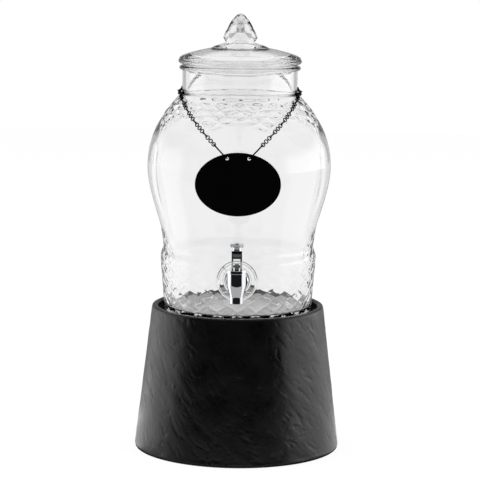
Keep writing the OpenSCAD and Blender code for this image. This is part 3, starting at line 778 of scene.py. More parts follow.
@dataclass
class Stand:
    """Hollow cast cone with a recessed top, and the felt ring under it."""

    base_r: float = 126.5
    top_r: float = 105.5
    height: float = 176.0
    felt: float = 1.5
    recess_r: float = 98.0
    seat_z: float = 162.0
    plate_z: float = 153.0
    wall: float = 7.5
    fillet_leg: float = 9.0
    rim_round: float = 2.5
    columns: int = 520
    rise_rows: int = 132
    relief: float = 2.7
    chip: float = 8.0
    swell: float = 30.0
    twist_per_m: float = 6.0

    def outside_r(self, z: float | np.ndarray) -> float | np.ndarray:
        """Radius of the plain cone at a height."""
        return self.base_r - (self.base_r - self.top_r) * (z - self.felt) / (self.height - self.felt)

    def profile(self) -> Profile:
        """Lists the closed profile, from under the seat plate round the wall to the seat.

        Returns:
            Radius and height of each point.
        """
        inner_r = self.base_r - self.wall
        low = self.outside_r(self.plate_z) - self.wall - self.fillet_leg
        high = self.outside_r(self.plate_z - self.fillet_leg) - self.wall
        under = [(0.0, self.plate_z), (low * 0.5, self.plate_z)]
        under += fillet((high, self.plate_z), (low - 4, self.plate_z), (inner_r, self.felt), self.fillet_leg)
        under += [(high + (inner_r - high) * t, (self.plate_z - 12) * (1 - t) + self.felt * t)
                  for t in (0.25, 0.5, 0.75)]
        foot = [(inner_r, self.felt + 0.8), (inner_r + 0.8, self.felt), (self.base_r - 2.5, self.felt),
                (self.base_r - 1.0, self.felt + 0.4), (self.base_r - 0.3, self.felt + 1.3)]
        heights = np.linspace(self.felt + 2.6, self.height - 4.0, self.rise_rows)
        rise = [(self.outside_r(z), z) for z in heights]
        rim = []
        for centre, start in ((self.top_r - self.rim_round, 0), (self.recess_r + self.rim_round, 90)):
            for i in range(6):
                a = math.radians(start + 18 * i)
                rim.append((centre + self.rim_round * math.cos(a),
                            self.height - self.rim_round + self.rim_round * math.sin(a)))
        seat = [(self.recess_r, self.seat_z + 6), (self.recess_r, self.seat_z + 2),
                (self.recess_r - 0.6, self.seat_z + 0.6), (self.recess_r - 2, self.seat_z),
                (self.recess_r * 0.5, self.seat_z), (0.0, self.seat_z)]
        return under + foot + rise + rim + seat

    def build(self) -> None:
        """Builds the cone with its riven face and dresses the felt ring."""
        mesh = revolve("stand_cone", self.profile(), self.columns)
        points = np.array([v.co for v in mesh.vertices]) / MM
        radius = np.hypot(points[:, 0], points[:, 1])
        outside = radius > self.recess_r + 1.0
        fade = smooth_step(self.felt, self.felt + 5, points[:, 2])
        fade = fade * (1 - 0.75 * smooth_step(self.height - 7, self.height - 1, points[:, 2]))
        face = outside & (np.abs(radius - self.outside_r(points[:, 2])) < self.rim_round + 0.1)
        mesh.attributes.new("riven", "FLOAT", "POINT").data.foreach_set("value", np.where(face, fade, 0.0))
        piece = riven_rule().run("stand_cone", mesh,
                                 {"Relief": self.relief * MM, "Chip Scale": 1 / (self.chip * MM),
                                  "Swell Scale": 1 / (self.swell * MM), "Twist": self.twist_per_m,
                                  "Finish": SLATE.material()})
        dress(piece, SLATE, 40, "base", "stand")
        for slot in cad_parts["felt_ring"].material_slots:
            slot.material = FELT.material()
        LOG.info("felt_ring has its finish")


# Glass


@dataclass
class Jar:
    """Pressed glass jar: a turned wall with quilted bands, belly panels and a boss for the tap."""

    seat_z: float = 162.0
    base_r: float = 91.0
    heel: float = 14.0
    foot: float = 7.0
    push_up: float = 3.0
    band_r: float = 95.4
    band_h: float = 74.0
    waist_r: float = 92.2
    waist_h: float = 88.7
    belly_r: float = 111.9
    belly_h: float = 185.0
    neck_r: float = 69.9
    root_h: float = 273.3
    neck_round: float = 8.0
    neck_h: float = 278.957
    height: float = 310.457
    bead_proud: float = 3.9
    bead_height: float = 5.6
    bead_drop: float = 2.2
    wall: float = 5.0
    floor: float = 14.4
    floor_round: float = 2.0
    lip: float = 1.2
    columns: int = 384
    diamonds: int = 24
    low_cell: float = 17.0
    low_edge: float = 53.0
    back_edge: float = 70.0
    low_rows: int = 36
    belly_rows: int = 20
    lattice_top: float = 111.0
    foot_edge: tuple[float, float] = (5.0, 11.0)
    neck_edge: tuple[float, float] = (263.0, 271.0)
    tap_edge: tuple[float, float] = (2.2, 4.6)
    shallow_edge: tuple[float, float] = (24.0, 38.0)
    top_cell: float = 16.0
    top_run: float = 58.0
    arch_h: float = 249.0
    arch_drop: float = 17.0
    quilt_depth: float = 0.65
    shoulder_depth: float = 1.3
    ledge: float = 0.55
    ledge_run: float = 22.0
    panels: int = 8
    panel_proud: float = 0.9
    panel_start: tuple[float, float] = (118.0, 160.0)
    panel_end: tuple[float, float] = (205.0, 224.0)
    tap_z: float = 220.5
    boss_y: float = 96.393
    boss_back: float = 88.45
    boss_r: float = 24.4
    inner_y: float = 87.36
    inner_front: float = 91.0
    inner_r: float = 17.0
    hole_r: float = 8.5

    def radius(self, h: np.ndarray) -> np.ndarray:
        """Outer radius of the plain wall.

        Args:
            h: Heights above the jar's base.

        Returns:
            The radius at each height.
        """
        h = np.asarray(h, float)
        root_r = self.neck_r + self.neck_round * (1 - math.cos(math.pi / 4))
        # Height, radius and slope where two stretches of the wall meet
        knots = [(self.heel, self.base_r, 0.05), (self.band_h, self.band_r, 0.05),
                 (self.waist_h, self.waist_r, 0.06), (self.belly_h, self.belly_r, 0.0),
                 (self.root_h, root_r, -1.0)]
        out = np.where(h < self.heel, self.base_r, self.neck_r)
        for (h0, r0, s0), (h1, r1, s1) in zip(knots, knots[1:]):
            run = h1 - h0
            t = np.clip((h - h0) / run, 0, 1)
            curve = ((2 * t**3 - 3 * t**2 + 1) * r0 + (t**3 - 2 * t**2 + t) * run * s0
                     + (3 * t**2 - 2 * t**3) * r1 + (t**3 - t**2) * run * s1)
            out = np.where((h >= h0) & (h < h1), curve, out)
        drop = np.clip(self.neck_h - h, 0, self.neck_round)
        bow = self.neck_r + self.neck_round - np.sqrt(self.neck_round**2 - drop**2)
        return np.where((h >= self.root_h) & (h < self.neck_h), bow, out)

    def slope(self, h: np.ndarray) -> np.ndarray:
        """Change of the radius with height."""
        return (self.radius(h + 0.1) - self.radius(h - 0.1)) / 0.2

    def pillow(self, turn: np.ndarray, h: np.ndarray, up: np.ndarray, round_share: float) -> np.ndarray:
        """Height of the diamonds over their grooves, on a lattice that wanders a little.

        Args:
            turn: Radians from the front.
            h: Heights above the jar's base.
            up: Number of cells up the lattice.
            round_share: 0 for flat diamonds with narrow grooves, 1 for round ones.

        Returns:
            Shares of the depth, 0 in the grooves.
        """
        around = self.diamonds * turn / (2 * math.pi)
        around = around + 0.03 * (np.sin(13 * turn + 0.21 * h) + np.sin(29 * turn - 0.33 * h + 1.3))
        wander = 0.03 * (np.sin(17 * turn - 0.27 * h + 0.7) + np.sin(31 * turn + 0.18 * h + 2.1))
        a = np.abs(2 * ((around + up + wander) % 1.0) - 1)
        b = np.abs(2 * ((around - up - wander) % 1.0) - 1)
        groove = 1 - np.maximum(a, b) ** 6
        dome = (1 - a**2) * (1 - b**2)
        return (1 - round_share) * groove + round_share * dome

    def relief(self, angle: np.ndarray, h: np.ndarray, run: np.ndarray) -> np.ndarray:
        """Height of the pressed pattern over the plain wall.

        Args:
            angle: Degrees from the front, from -180 to 180.
            h: Heights above the jar's base.
            run: Distance along the wall, down from the neck.

        Returns:
            Millimetres outwards, negative in the grooves.
        """
        turn = np.radians(angle)
        uneven = 1 + 0.35 * np.sin(19 * turn + 0.23 * h) * np.sin(7 * turn - 0.31 * h + 0.5)
        panel = 360.0 / self.panels
        across = np.abs((angle + panel / 2) % panel - panel / 2) / (panel / 2)
        foot_fade = smooth_step(*self.foot_edge, h)
        neck_fade = 1 - smooth_step(*self.neck_edge, h)

        # Lower band: it rises along the lattice from a level edge in front to a point at each side,
        # and is shallow round the tap
        front = np.abs(angle) * self.diamonds / 360.0
        quarter = self.diamonds / 4
        low_edge = np.where(front < quarter, self.low_edge + self.low_cell * np.clip(front - 2, 0, 3.3),
                            self.back_edge + self.low_cell * np.clip(2 * quarter - front - 3.7, 0, 2.3))
        away = smooth_step(*self.tap_edge, front)
        blur = 1.8 + 7.0 * (1 - away)
        low = (1 - smooth_step(low_edge - blur, low_edge + blur, h)) * foot_fade
        shallow = 0.7 - 0.5 * smooth_step(*self.shallow_edge, h)
        low_depth = self.quilt_depth * (shallow + (1 - shallow) * away) * uneven
        low_quilt = -low_depth * (1 - self.pillow(turn, h, (h - self.low_edge) / self.low_cell, 0.1))

        # Shoulder band: its lower edge is an arch over each panel, and it is deepest in front and behind
        arch = self.arch_h - self.arch_drop * across**1.6
        top = smooth_step(arch - 1.8, arch + 1.8, h) * neck_fade
        top_depth = self.shoulder_depth * (1.85 - np.abs(np.sin(turn))) * uneven
        top_quilt = -top_depth * (1 - self.pillow(turn, h, 0.5 + run / self.top_cell, 0.5))

        # Plain wall: it sinks to a ledge at each band, and the belly's panels meet in soft ridges
        low_ledge = self.ledge * away * (1 - smooth_step(low_edge, low_edge + self.ledge_run, h)) * foot_fade
        top_ledge = self.ledge * smooth_step(arch - self.ledge_run, arch, h) * neck_fade
        ridge = (self.panel_proud * across**5 * smooth_step(*self.panel_start, h)
                 * (1 - smooth_step(*self.panel_end, h)))
        return low * low_quilt + top * top_quilt + (1 - low) * (1 - top) * (ridge - low_ledge - top_ledge)

    def wall_rows(self, runs: np.ndarray, steps: np.ndarray) -> np.ndarray:
        """Lists the heights of the outer wall's rows, which follow the lattice where the pattern is.

        Args:
            runs: Distance along the wall, down from the neck, at each of the steps.
            steps: Heights, falling.

        Returns:
            The heights, rising.
        """
        part = 2 * self.diamonds / self.columns
        pitch = self.low_cell * part / 2
        low = np.arange(self.low_edge - pitch * self.low_rows, self.lattice_top, pitch)
        shoulder = np.interp(np.arange(self.top_run, -0.01, -self.top_cell * part / 2), runs, steps)
        belly = np.linspace(low[-1], shoulder[0], self.belly_rows)[1:-1]
        return np.concatenate([low[low > self.heel], belly, shoulder])

    def outside(self, angles: np.ndarray) -> list[tuple[np.ndarray, np.ndarray]]:
        """Lists the rings of the quilted outside, from the foot up to the neck.

        Args:
            angles: Degrees from the front of each point of a ring.

        Returns:
            Radius and height of each ring's points.
        """
        steps = np.arange(self.neck_h + 20, 180, -0.25)
        runs = np.concatenate([[0], np.cumsum(np.hypot(np.diff(self.radius(steps)), np.diff(steps)))])
        runs = runs - np.interp(-self.neck_h, -steps, runs)
        rings = []
        for a in np.radians(np.linspace(-90, -10, 9)):
            h = self.heel + self.heel * math.sin(a)
            lift = self.heel + self.relief(angles, np.full(angles.shape, h), np.full(angles.shape, 999.0))
            rings.append((self.base_r - self.heel + lift * math.cos(a), self.heel + lift * math.sin(a)))
        for h in self.wall_rows(runs, steps):
            tilt = float(self.slope(np.array(h)))
            run = float(np.interp(-h, -steps, runs))
            lift = self.relief(angles, np.full(angles.shape, h), np.full(angles.shape, run))
            size = math.hypot(1, tilt)
            rings.append((float(self.radius(np.array(h))) + lift / size, h - lift * tilt / size))
        return rings

    def mouth(self) -> Profile:
        """Lists the profile of the neck, its bead and its lip.

        Returns:
            Radius and height of each point.
        """
        half = self.bead_height / 2
        bead_h = self.height - self.bead_drop - half
        points = [(self.neck_r, h) for h in np.linspace(self.neck_h + 2, bead_h - half - 0.6, 6)]
        for i in range(15):
            a = math.radians(-90 + 180 * i / 14)
            points.append((self.neck_r + self.bead_proud * math.cos(a), bead_h + half * math.sin(a)))
        for centre, start in ((self.neck_r - self.lip, 0), (self.neck_r - self.wall + self.lip, 90)):
            for i in range(5):
                a = math.radians(start + 22.5 * i)
                points.append((centre + self.lip * math.cos(a),
                               self.height - self.lip + self.lip * math.sin(a)))
        return points

    def inside(self) -> Profile:
        """Lists the profile of the plain inside, from the mouth down to the middle of the floor.

        Returns:
            Radius and height of each point.
        """
        corner_h = self.floor + self.floor_round
        heights = np.concatenate([np.linspace(self.height - 6, self.neck_h, 6)[:-1],
                                  np.linspace(self.neck_h, self.root_h, 7)[:-1],
                                  np.linspace(self.root_h, corner_h + 1, 36)])
        points = [(float(self.radius(h)) - self.wall * math.hypot(1, float(self.slope(h))), h)
                  for h in heights]
        corner_r = float(self.radius(corner_h)) - self.wall - self.floor_round
        for i in range(9):
            a = math.radians(-11.25 * i)
            points.append((corner_r + self.floor_round * math.cos(a),
                           corner_h + self.floor_round * math.sin(a)))
        return points + [(corner_r * 0.5, self.floor), (0.0, self.floor)]

    def build(self) -> None:
        """Builds the jar with its boss and its tap hole."""
        angles = np.arange(self.columns) * 360.0 / self.columns
        angles = np.where(angles > 180, angles - 360, angles)
        foot_r = self.base_r - self.heel - self.foot
        under = [(0.0, self.push_up), (foot_r * 0.5, self.push_up), (foot_r - 6, self.push_up),
                 (foot_r - 3, 1.5), (foot_r, 0.0)]
        turn = np.radians(angles)
        rows = []
        for r, h in under + self.outside(angles) + self.mouth() + self.inside():
            z = np.broadcast_to(self.seat_z + h, turn.shape)
            rows.append(np.stack([r * np.sin(turn), -r * np.cos(turn), z], axis=1))
        numbers = [list(range(i * self.columns, (i + 1) * self.columns)) for i in range(len(rows))]
        for pole in (0, -1):
            numbers[pole] = numbers[pole][:1] * self.columns
        mesh = new_mesh("quilted_jar", np.concatenate(rows), grid_faces(numbers, False))
        rework(mesh, lambda work: bmesh.ops.delete(work, geom=[v for v in work.verts if not v.link_faces],
                                                   context="VERTS"))
        piece = new_object("quilted_jar", mesh)
        for name, profile, operation in (("boss", self.boss(), "UNION"),
                                         ("inner_flat", self.inner_flat(), "UNION"),
                                         ("hole", self.hole(), "DIFFERENCE")):
            combine(piece, revolve_level(name, profile, self.tap_z), operation)
        dress(piece, GLASS, 30, "jar", "glass_jar")

    def boss(self) -> Profile:
        """Lists the profile of the round boss with its rounded shoulder and raised land.

        Returns:
            Radius and distance to the front of each point.
        """
        r, y = self.boss_r, self.boss_y
        return [(0, self.boss_back), (r, self.boss_back), (r, y - 1.9), (r - 0.25, y - 1.2),
                (r - 0.9, y - 0.75), (r - 1.7, y - 0.6), (r - 2.4, y - 0.55), (r - 2.75, y - 0.3),
                (r - 3.0, y), (0, y)]

    def inner_flat(self) -> Profile:
        """Lists the profile of the flat inside the jar that the rear gasket lies on."""
        return [(0, self.inner_y), (self.inner_r - 0.3, self.inner_y), (self.inner_r, self.inner_y + 0.3),
                (self.inner_r, self.inner_front), (0, self.inner_front)]

    def hole(self) -> Profile:
        """Lists the profile of the cutter for the tap's hole."""
        return [(0, self.inner_y - 2), (self.hole_r, self.inner_y - 2), (self.hole_r, self.boss_y + 2),
                (0, self.boss_y + 2)]


@dataclass
class Lid:
    """Pressed glass lid: brim, stepped dome, locating ring and a faceted acorn finial."""

    rim_z: float = 472.457
    brim_r: float = 75.0
    brim: float = 6.4
    brim_flat_r: float = 69.5
    brim_gap: float = 0.06
    dome: float = 12.6
    step_r: float = 34.0
    step: float = 0.4
    crown: float = 5.5
    crown_r: float = 19.2
    wall: float = 4.6
    ring_r: float = 63.7
    ring_wall: float = 4.0
    ring_depth: float = 11.0
    finial_r: float = 21.0
    foot_r: float = 18.0
    belly: float = 6.6
    finial: float = 35.7
    facets: int = 8
    turns: int = 160

    def dome_z(self, r: float) -> float:
        """Height of the dome over the rim.

        Args:
            r: Distance from the axis.

        Returns:
            The height.
        """
        edge = self.brim_r - 1
        if r > self.step_r:
            return self.brim + self.dome * ((edge - r) / (edge - self.step_r)) ** 0.62
        return (self.brim + self.dome + self.step
                + self.crown * ((self.step_r - r) / (self.step_r - self.crown_r)) ** 0.8)

    def profile(self) -> Profile:
        """Lists the lid's profile from under its middle round the brim to the finial's foot.

        Returns:
            Radius of each point and its height over the rim.
        """
        inner, outer = self.ring_r - self.ring_wall, self.ring_r
        half = self.brim / 2
        low = -self.ring_depth
        under = [(0.0, self.dome_z(self.step_r + 0.01) - self.wall)]
        under += [(r, self.dome_z(r) - self.wall) for r in np.linspace(self.step_r + 0.01, inner - 1.5, 12)]
        under += fillet((inner, self.dome_z(inner) - self.wall), under[-1], (inner, 0), 1.5)
        ring = [(inner, low + 1.5), (inner + 0.3, low + 0.5), (inner + 1, low), (outer - 1, low),
                (outer - 0.3, low + 0.5), (outer, low + 1.5), (outer, -0.6), (outer + 0.3, -0.1)]
        brim = [(outer + 1, self.brim_gap), (self.brim_flat_r, self.brim_gap)]
        brim += [(self.brim_r - half + half * math.cos(a), half + half * math.sin(a))
                 for a in np.radians(np.linspace(-90, 60, 14))]
        top = [(r, self.dome_z(r)) for r in self.step_r + 0.9 + (self.brim_r - 1.9 - self.step_r)
               * (1 - np.linspace(0.04, 1, 26) ** 1.5)]
        step_z = self.dome_z(self.step_r + 0.9)
        top += [(self.step_r + 0.35, step_z + 0.2), (self.step_r + 0.05, step_z + 0.75),
                (self.step_r - 0.35, step_z + 1.15)]
        top += [(r, self.dome_z(r)) for r in np.linspace(self.step_r - 0.9, self.crown_r, 12)]
        return under + ring + brim + top

    def build(self) -> None:
        """Builds the lid as one closed piece with flat facets on its finial."""
        profile = [(r, z + self.rim_z) for r, z in self.profile()]
        points, faces = take_apart(revolve("lid", profile, self.turns))
        edge = list(range(len(points) - self.turns, len(points)))
        crown = self.rim_z + self.dome_z(self.crown_r)
        taper = self.finial - self.belly
        rings = [(self.foot_r, crown), (self.foot_r, crown + 0.4), (self.finial_r, crown + self.belly)]
        rings += [(self.finial_r * u**0.56, crown + self.finial - taper * u)
                  for u in (0.8, 0.56, 0.33, 0.15, 0.05)]
        n = self.facets
        rows = []
        for j, (r, z) in enumerate(rings):
            rows.append(list(range(len(points), len(points) + n)))
            points += facet_ring(r, z, n, 0.5 if j < 2 else 0.0)
        tip = len(points)
        points.append((0.0, 0.0, crown + self.finial))
        faces += facet_collar(edge, self.turns // n // 2, rows[0])
        foot, belly = rows[1], rows[2]
        for k in range(n):
            q = (k + 1) % n
            faces += [(foot[k], foot[q], belly[q]), (belly[k], foot[k], belly[q])]
            faces.append((rows[-1][k], rows[-1][q], tip))
        faces += grid_faces(rows[:2], False) + grid_faces(rows[2:], False)
        mesh = new_mesh("glass_lid_with_finial", np.array(points), faces)
        dress(new_object("glass_lid_with_finial", mesh), GLASS, 22, "lid", "glass_lid")


# Tap


def draw_wire(name: str, line: list[Point], diameter: float, sides: int, finish: Finish) -> bpy.types.Object:
    """Draws a wire along a line of points.

    Args:
        name: The piece's name.
        line: Points in millimetres.
        diameter: The wire's diameter in millimetres.
        sides: Number of points round the wire.
        finish: Its surface.

    Returns:
        The wire as a plain mesh.
    """
    mesh = bpy.data.meshes.new(name)
    mesh.from_pydata([tuple(c * MM for c in p) for p in line], [(i, i + 1) for i in range(len(line) - 1)], [])
    return DRAWN_WIRE.run(name, mesh, {"Wire Radius": diameter / 2 * MM, "Sides": sides,
                                       "Finish": finish.material()})


DRAWN_WIRE = wire_rule()


@dataclass
class Tap:
    """Chromed tap: body with flange, arm, barrel and nozzle, bonnet, gaskets, nut and the valve inside."""

    tap_z: float = 220.5
    barrel_y: float = 136.393
    shank_back: float = 72.36
    shank_r: float = 7.9
    thread_pitch: float = 1.5
    thread_depth: float = 0.75
    flange_y: float = 98.393
    flange_r: float = 13.8
    flange: float = 4.0
    arm_r: float = 7.5
    bore_r: float = 4.5
    barrel_r: float = 10.8
    barrel_top: float = 237.0
    nozzle_r: float = 7.7
    nozzle_top: float = 209.0
    outlet_z: float = 201.0
    outlet_r: float = 5.8
    chamber_r: float = 8.2
    throat_r: float = 4.6
    throat_z: float = 210.5
    bonnet_low: float = 230.0
    bonnet_top: float = 241.0
    bonnet_lip: float = 0.6
    stem_hole_r: float = 2.58
    groove_r: float = 3.93
    groove_low: float = 233.0
    groove_high: float = 235.0
    spring_r: float = 4.6
    spring_wire: float = 0.9
    spring_low: float = 218.85
    spring_high: float = 229.45
    spring_turns: float = 4.5

    def upright(self, name: str, profile: Profile, closed: bool = False) -> bpy.types.Object:
        """Turns a profile about the barrel's axis.

        Args:
            name: The object's name.
            profile: Radius and height of each point.
            closed: True where the profile is a ring that doesn't reach the axis.

        Returns:
            The object.
        """
        mesh = revolve(name, profile, TURNS, closed)
        mesh.transform(Matrix.Translation((0, -self.barrel_y * MM, 0)))
        return new_object(name, mesh)

    def arm(self) -> Profile:
        """Lists the profile of the threaded shank, the flange and the arm, from the back to the barrel.

        Returns:
            Radius and distance to the front of each point.
        """
        root = self.shank_r - self.thread_depth
        points = [(0, self.shank_back), (self.shank_r - 1.0, self.shank_back)]
        y = self.shank_back + 0.7
        while y + 1.2 <= self.flange_y - 2.2:
            points += [(root, y), (self.shank_r, y + 0.55), (self.shank_r, y + 0.75), (root, y + 1.3)]
            y += self.thread_pitch
        back, top = self.flange_y, self.flange_y + self.flange
        flange = [(self.shank_r, back - 1.5), (self.shank_r, back), (self.flange_r, back),
                  (self.flange_r, back + self.flange * 0.5), (self.flange_r - 1.2, back + self.flange * 0.85),
                  (self.arm_r + 0.8, top), (self.arm_r, top + 1.4), (self.arm_r, self.barrel_y),
                  (0, self.barrel_y)]
        return points + soften(flange, {2: 0.4, 3: 1.0, 4: 0.8, 5: 0.7, 6: 0.7})

    def chamber(self) -> Profile:
        """Lists the profile of the way through the barrel: outlet, throat, seat and chamber.

        Returns:
            Radius and height of each point.
        """
        wide = self.outlet_r + 0.4
        return [(0, self.outlet_z - 2), (wide, self.outlet_z - 2), (wide, self.outlet_z + 0.1),
                (self.outlet_r, self.outlet_z + 0.5), (self.outlet_r, self.throat_z - 2),
                (self.throat_r, self.throat_z - 1), (self.throat_r, self.throat_z),
                (self.chamber_r, self.tap_z - 1.5), (self.chamber_r, self.barrel_top + 2),
                (0, self.barrel_top + 2)]

    def build_body(self) -> None:
        """Builds the body from a barrel and an arm, and cuts the way for the drink."""
        barrel = [(0, self.outlet_z), (self.nozzle_r, self.outlet_z), (self.nozzle_r, self.outlet_z + 1.2),
                  (self.nozzle_r, self.nozzle_top - 2), (self.nozzle_r, self.nozzle_top),
                  (self.barrel_r - 0.8, self.tap_z - 1.5), (self.barrel_r, self.tap_z + 2),
                  (self.barrel_r, self.tap_z + 4.5), (self.barrel_r, self.barrel_top - 0.8),
                  (self.barrel_r, self.barrel_top), (0, self.barrel_top)]
        piece = self.upright("tap_casting", soften(barrel, {1: 0.5, 4: 0.9, 5: 1.2, 6: 1.2, 9: 0.3}))
        combine(piece, revolve_level("tap_arm", self.arm(), self.tap_z), "UNION")
        combine(piece, self.upright("chamber", self.chamber()), "DIFFERENCE")
        back, front = self.shank_back - 2, self.barrel_y - 2
        bore = [(0, back), (self.bore_r, back), (self.bore_r, front), (0, front)]
        combine(piece, revolve_level("bore", bore, self.tap_z), "DIFFERENCE")
        dress(piece, CHROME, 32, "jar", "tap_body")

    def build_bonnet(self) -> None:
        """Builds the cap on the barrel, with the groove for the stem's seal."""
        head = self.barrel_r + self.bonnet_lip
        plug, hole = self.chamber_r - 0.05, self.stem_hole_r
        ring = [(hole, self.bonnet_low), (plug, self.bonnet_low), (plug, self.barrel_top),
                (head, self.barrel_top), (head, self.barrel_top + 0.9), (head, self.bonnet_top - 1.3),
                (head, self.bonnet_top), (head - 1.6, self.bonnet_top), (hole, self.bonnet_top),
                (hole, self.groove_high),
                (self.groove_r, self.groove_high), (self.groove_r, self.groove_low), (hole, self.groove_low)]
        piece = self.upright("bonnet_cap", soften(ring, {1: 0.4, 3: 0.4, 6: 0.7, 8: 0.3}), closed=True)
        dress(piece, CHROME, 32, "jar", "bonnet")

    def build_spring(self) -> None:
        """Winds the closing spring."""
        steps = int(self.spring_turns * 26)
        line = []
        for t in np.arange(steps + 1) / steps:
            a = 2 * math.pi * self.spring_turns * t
            rise = float(smooth_step(0.0, 1.0, t)) * 0.35 + t * 0.65
            line.append((self.spring_r * math.cos(a), self.spring_r * math.sin(a) - self.barrel_y,
                         self.spring_low + (self.spring_high - self.spring_low) * rise))
        piece = draw_wire("wound_spring", line, self.spring_wire, 10, STEEL)
        dress(piece, STEEL, 50, "jar", "closing_spring")
        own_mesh(piece)

    def build(self) -> None:
        """Builds every fixed piece of the tap, and the stem and stopper, which ride on the plunger."""
        self.build_body()
        self.build_bonnet()
        self.build_spring()
        for node, name, body, finish in (("front_gasket", "front_washer", "jar", SILICONE),
                                         ("rear_gasket", "rear_washer", "jar", SILICONE),
                                         ("shank_nut", "hexagon_nut", "jar", NYLON),
                                         ("stem_seal", "stem_o_ring", "jar", NITRILE),
                                         ("valve_stem", "valve_rod", "plunger", STEEL),
                                         ("stopper", "stopper_cone", "plunger", SILICONE),
                                         ("lever_pin", "cross_pin", "lever", STEEL)):
            dress(smooth_copy(node, name), finish, 30, body, node)


@dataclass
class Lever:
    """Forked lever whose cheeks rock on the bonnet, with a faceted knob on top."""

    barrel_y: float = 136.393
    pin_z: float = 245.0
    width: float = 12.6
    depth: float = 7.4
    height: float = 18.5
    pin_height: float = 4.0
    cam_radius: float = 3.81972
    cam_clear: float = 0.06
    open_angle: float = 60.0
    slot_half: float = 4.0
    slot_top: float = 9.0
    pin_r: float = 1.55
    edge_bevel: float = 0.3
    knob_r: float = 8.7
    knob_height: float = 10.2
    knob_foot: float = 5.8
    facets: int = 12

    def toe(self, degrees: float) -> tuple[float, float]:
        """Finds a point of the cam, which is an involute.

        Args:
            degrees: Angle of the lever at which the point touches the bonnet.

        Returns:
            Distance forward and up from the pin.
        """
        a = math.radians(degrees)
        p = self.pin_height - self.cam_clear + self.cam_radius * a
        return (p * math.sin(a) + self.cam_radius * math.cos(a),
                self.cam_radius * math.sin(a) - p * math.cos(a))

    def outline(self) -> Profile:
        """Lists the cheek's outline in the side view.

        Returns:
            Distance forward and up from the pin of each point.
        """
        last = self.open_angle + 3
        end = self.toe(last)
        half = self.depth / 2
        shoulder = self.height * 0.62
        points = [(-half + 1, -self.pin_height + self.cam_clear)]
        points += [self.toe(last * i / 14) for i in range(15)]
        for i in range(1, 13):
            t = i / 12
            points.append((half + (end[0] - half) * (1 - t) ** 2.4, end[1] + (shoulder - end[1]) * t))
        points += [(half - 0.7, self.height), (0.7 - half, self.height), (-half, shoulder),
                   (-half, -self.pin_height + 1 + self.cam_clear)]
        return points

    def prism(self, name: str, outline: Profile, half: float) -> bpy.types.Object:
        """Builds a block of one outline in the side view.

        Args:
            name: The object's name.
            outline: Distance forward and up from the pin of each corner.
            half: Half of its width.

        Returns:
            The object.
        """
        n = len(outline)
        points = [(side * half, -self.barrel_y - f, self.pin_z + u) for side in (-1, 1) for f, u in outline]
        faces: Faces = [tuple(range(n)), tuple(reversed(range(n, 2 * n)))]
        faces += [(i, n + i, n + (i + 1) % n, (i + 1) % n) for i in range(n)]
        mesh = new_mesh(name, np.array(points), faces)
        rework(mesh, lambda work: bmesh.ops.recalc_face_normals(work, faces=work.faces))
        return new_object(name, mesh)

    def build(self) -> None:
        """Builds the lever and its knob."""
        piece = self.prism("forked_lever", self.outline(), self.width / 2)
        slot = [(-30, -12), (30, -12), (30, self.slot_top), (-30, self.slot_top)]
        combine(piece, self.prism("slot", slot, self.slot_half), "DIFFERENCE")
        pin = revolve("pin_hole", [(0, -20), (self.pin_r, -20), (self.pin_r, 20), (0, 20)], 32)
        pin.transform(Matrix.Translation((0, -self.barrel_y * MM, self.pin_z * MM))
                      @ Matrix.Rotation(math.pi / 2, 4, "Y"))
        combine(piece, new_object("pin_hole", pin), "DIFFERENCE")
        edge = piece.modifiers.new("edge", "BEVEL")
        edge.width = self.edge_bevel * MM
        edge.segments = 3
        edge.limit_method = "ANGLE"
        edge.angle_limit = math.radians(50)
        dress(bake(piece), CHROME, 40, "lever", "lever")
        self.build_knob()

    def build_knob(self) -> None:
        """Builds the knob: a round foot and waist under a crown of flat facets."""
        z0 = self.pin_z + self.height
        foot, n, per = self.knob_foot, self.facets, 6
        stem = soften([(0, 0), (foot, 0), (foot, 1.4), (foot - 0.9, 2.3), (foot - 0.4, 3.4),
                       (self.knob_r - 1.0, 4.7)], {1: 0.3, 2: 0.4, 3: 0.6})
        points, faces = take_apart(revolve("knob", [(r, z0 + z) for r, z in stem], n * per))
        edge = list(range(len(points) - n * per, len(points)))
        rows = []
        crown = ((1.0, 5.7, 0.0), (0.84, 8.4, 0.5), (0.45, 9.6, 0.0), (0.16, self.knob_height, 0.5))
        for share, z, turn in crown:
            rows.append(list(range(len(points), len(points) + n)))
            points += facet_ring(self.knob_r * share, z0 + z, n, turn)
        faces += facet_collar(edge, 0, rows[0])
        for j, (low, high) in enumerate(zip(rows, rows[1:])):
            for k in range(n):
                q = (k + 1) % n
                near, far = (k, q) if j % 2 == 0 else (q, k)
                faces += [(low[k], low[q], high[near]), (high[k], low[far], high[q])]
        faces.append(tuple(rows[-1]))
        mesh = new_mesh("faceted_knob", np.array(points), faces)
        mesh.transform(Matrix.Translation((0, -self.barrel_y * MM, 0)))
        dress(new_object("faceted_knob", mesh), CHROME, 14, "lever", "lever_knob")


# Chain and tag


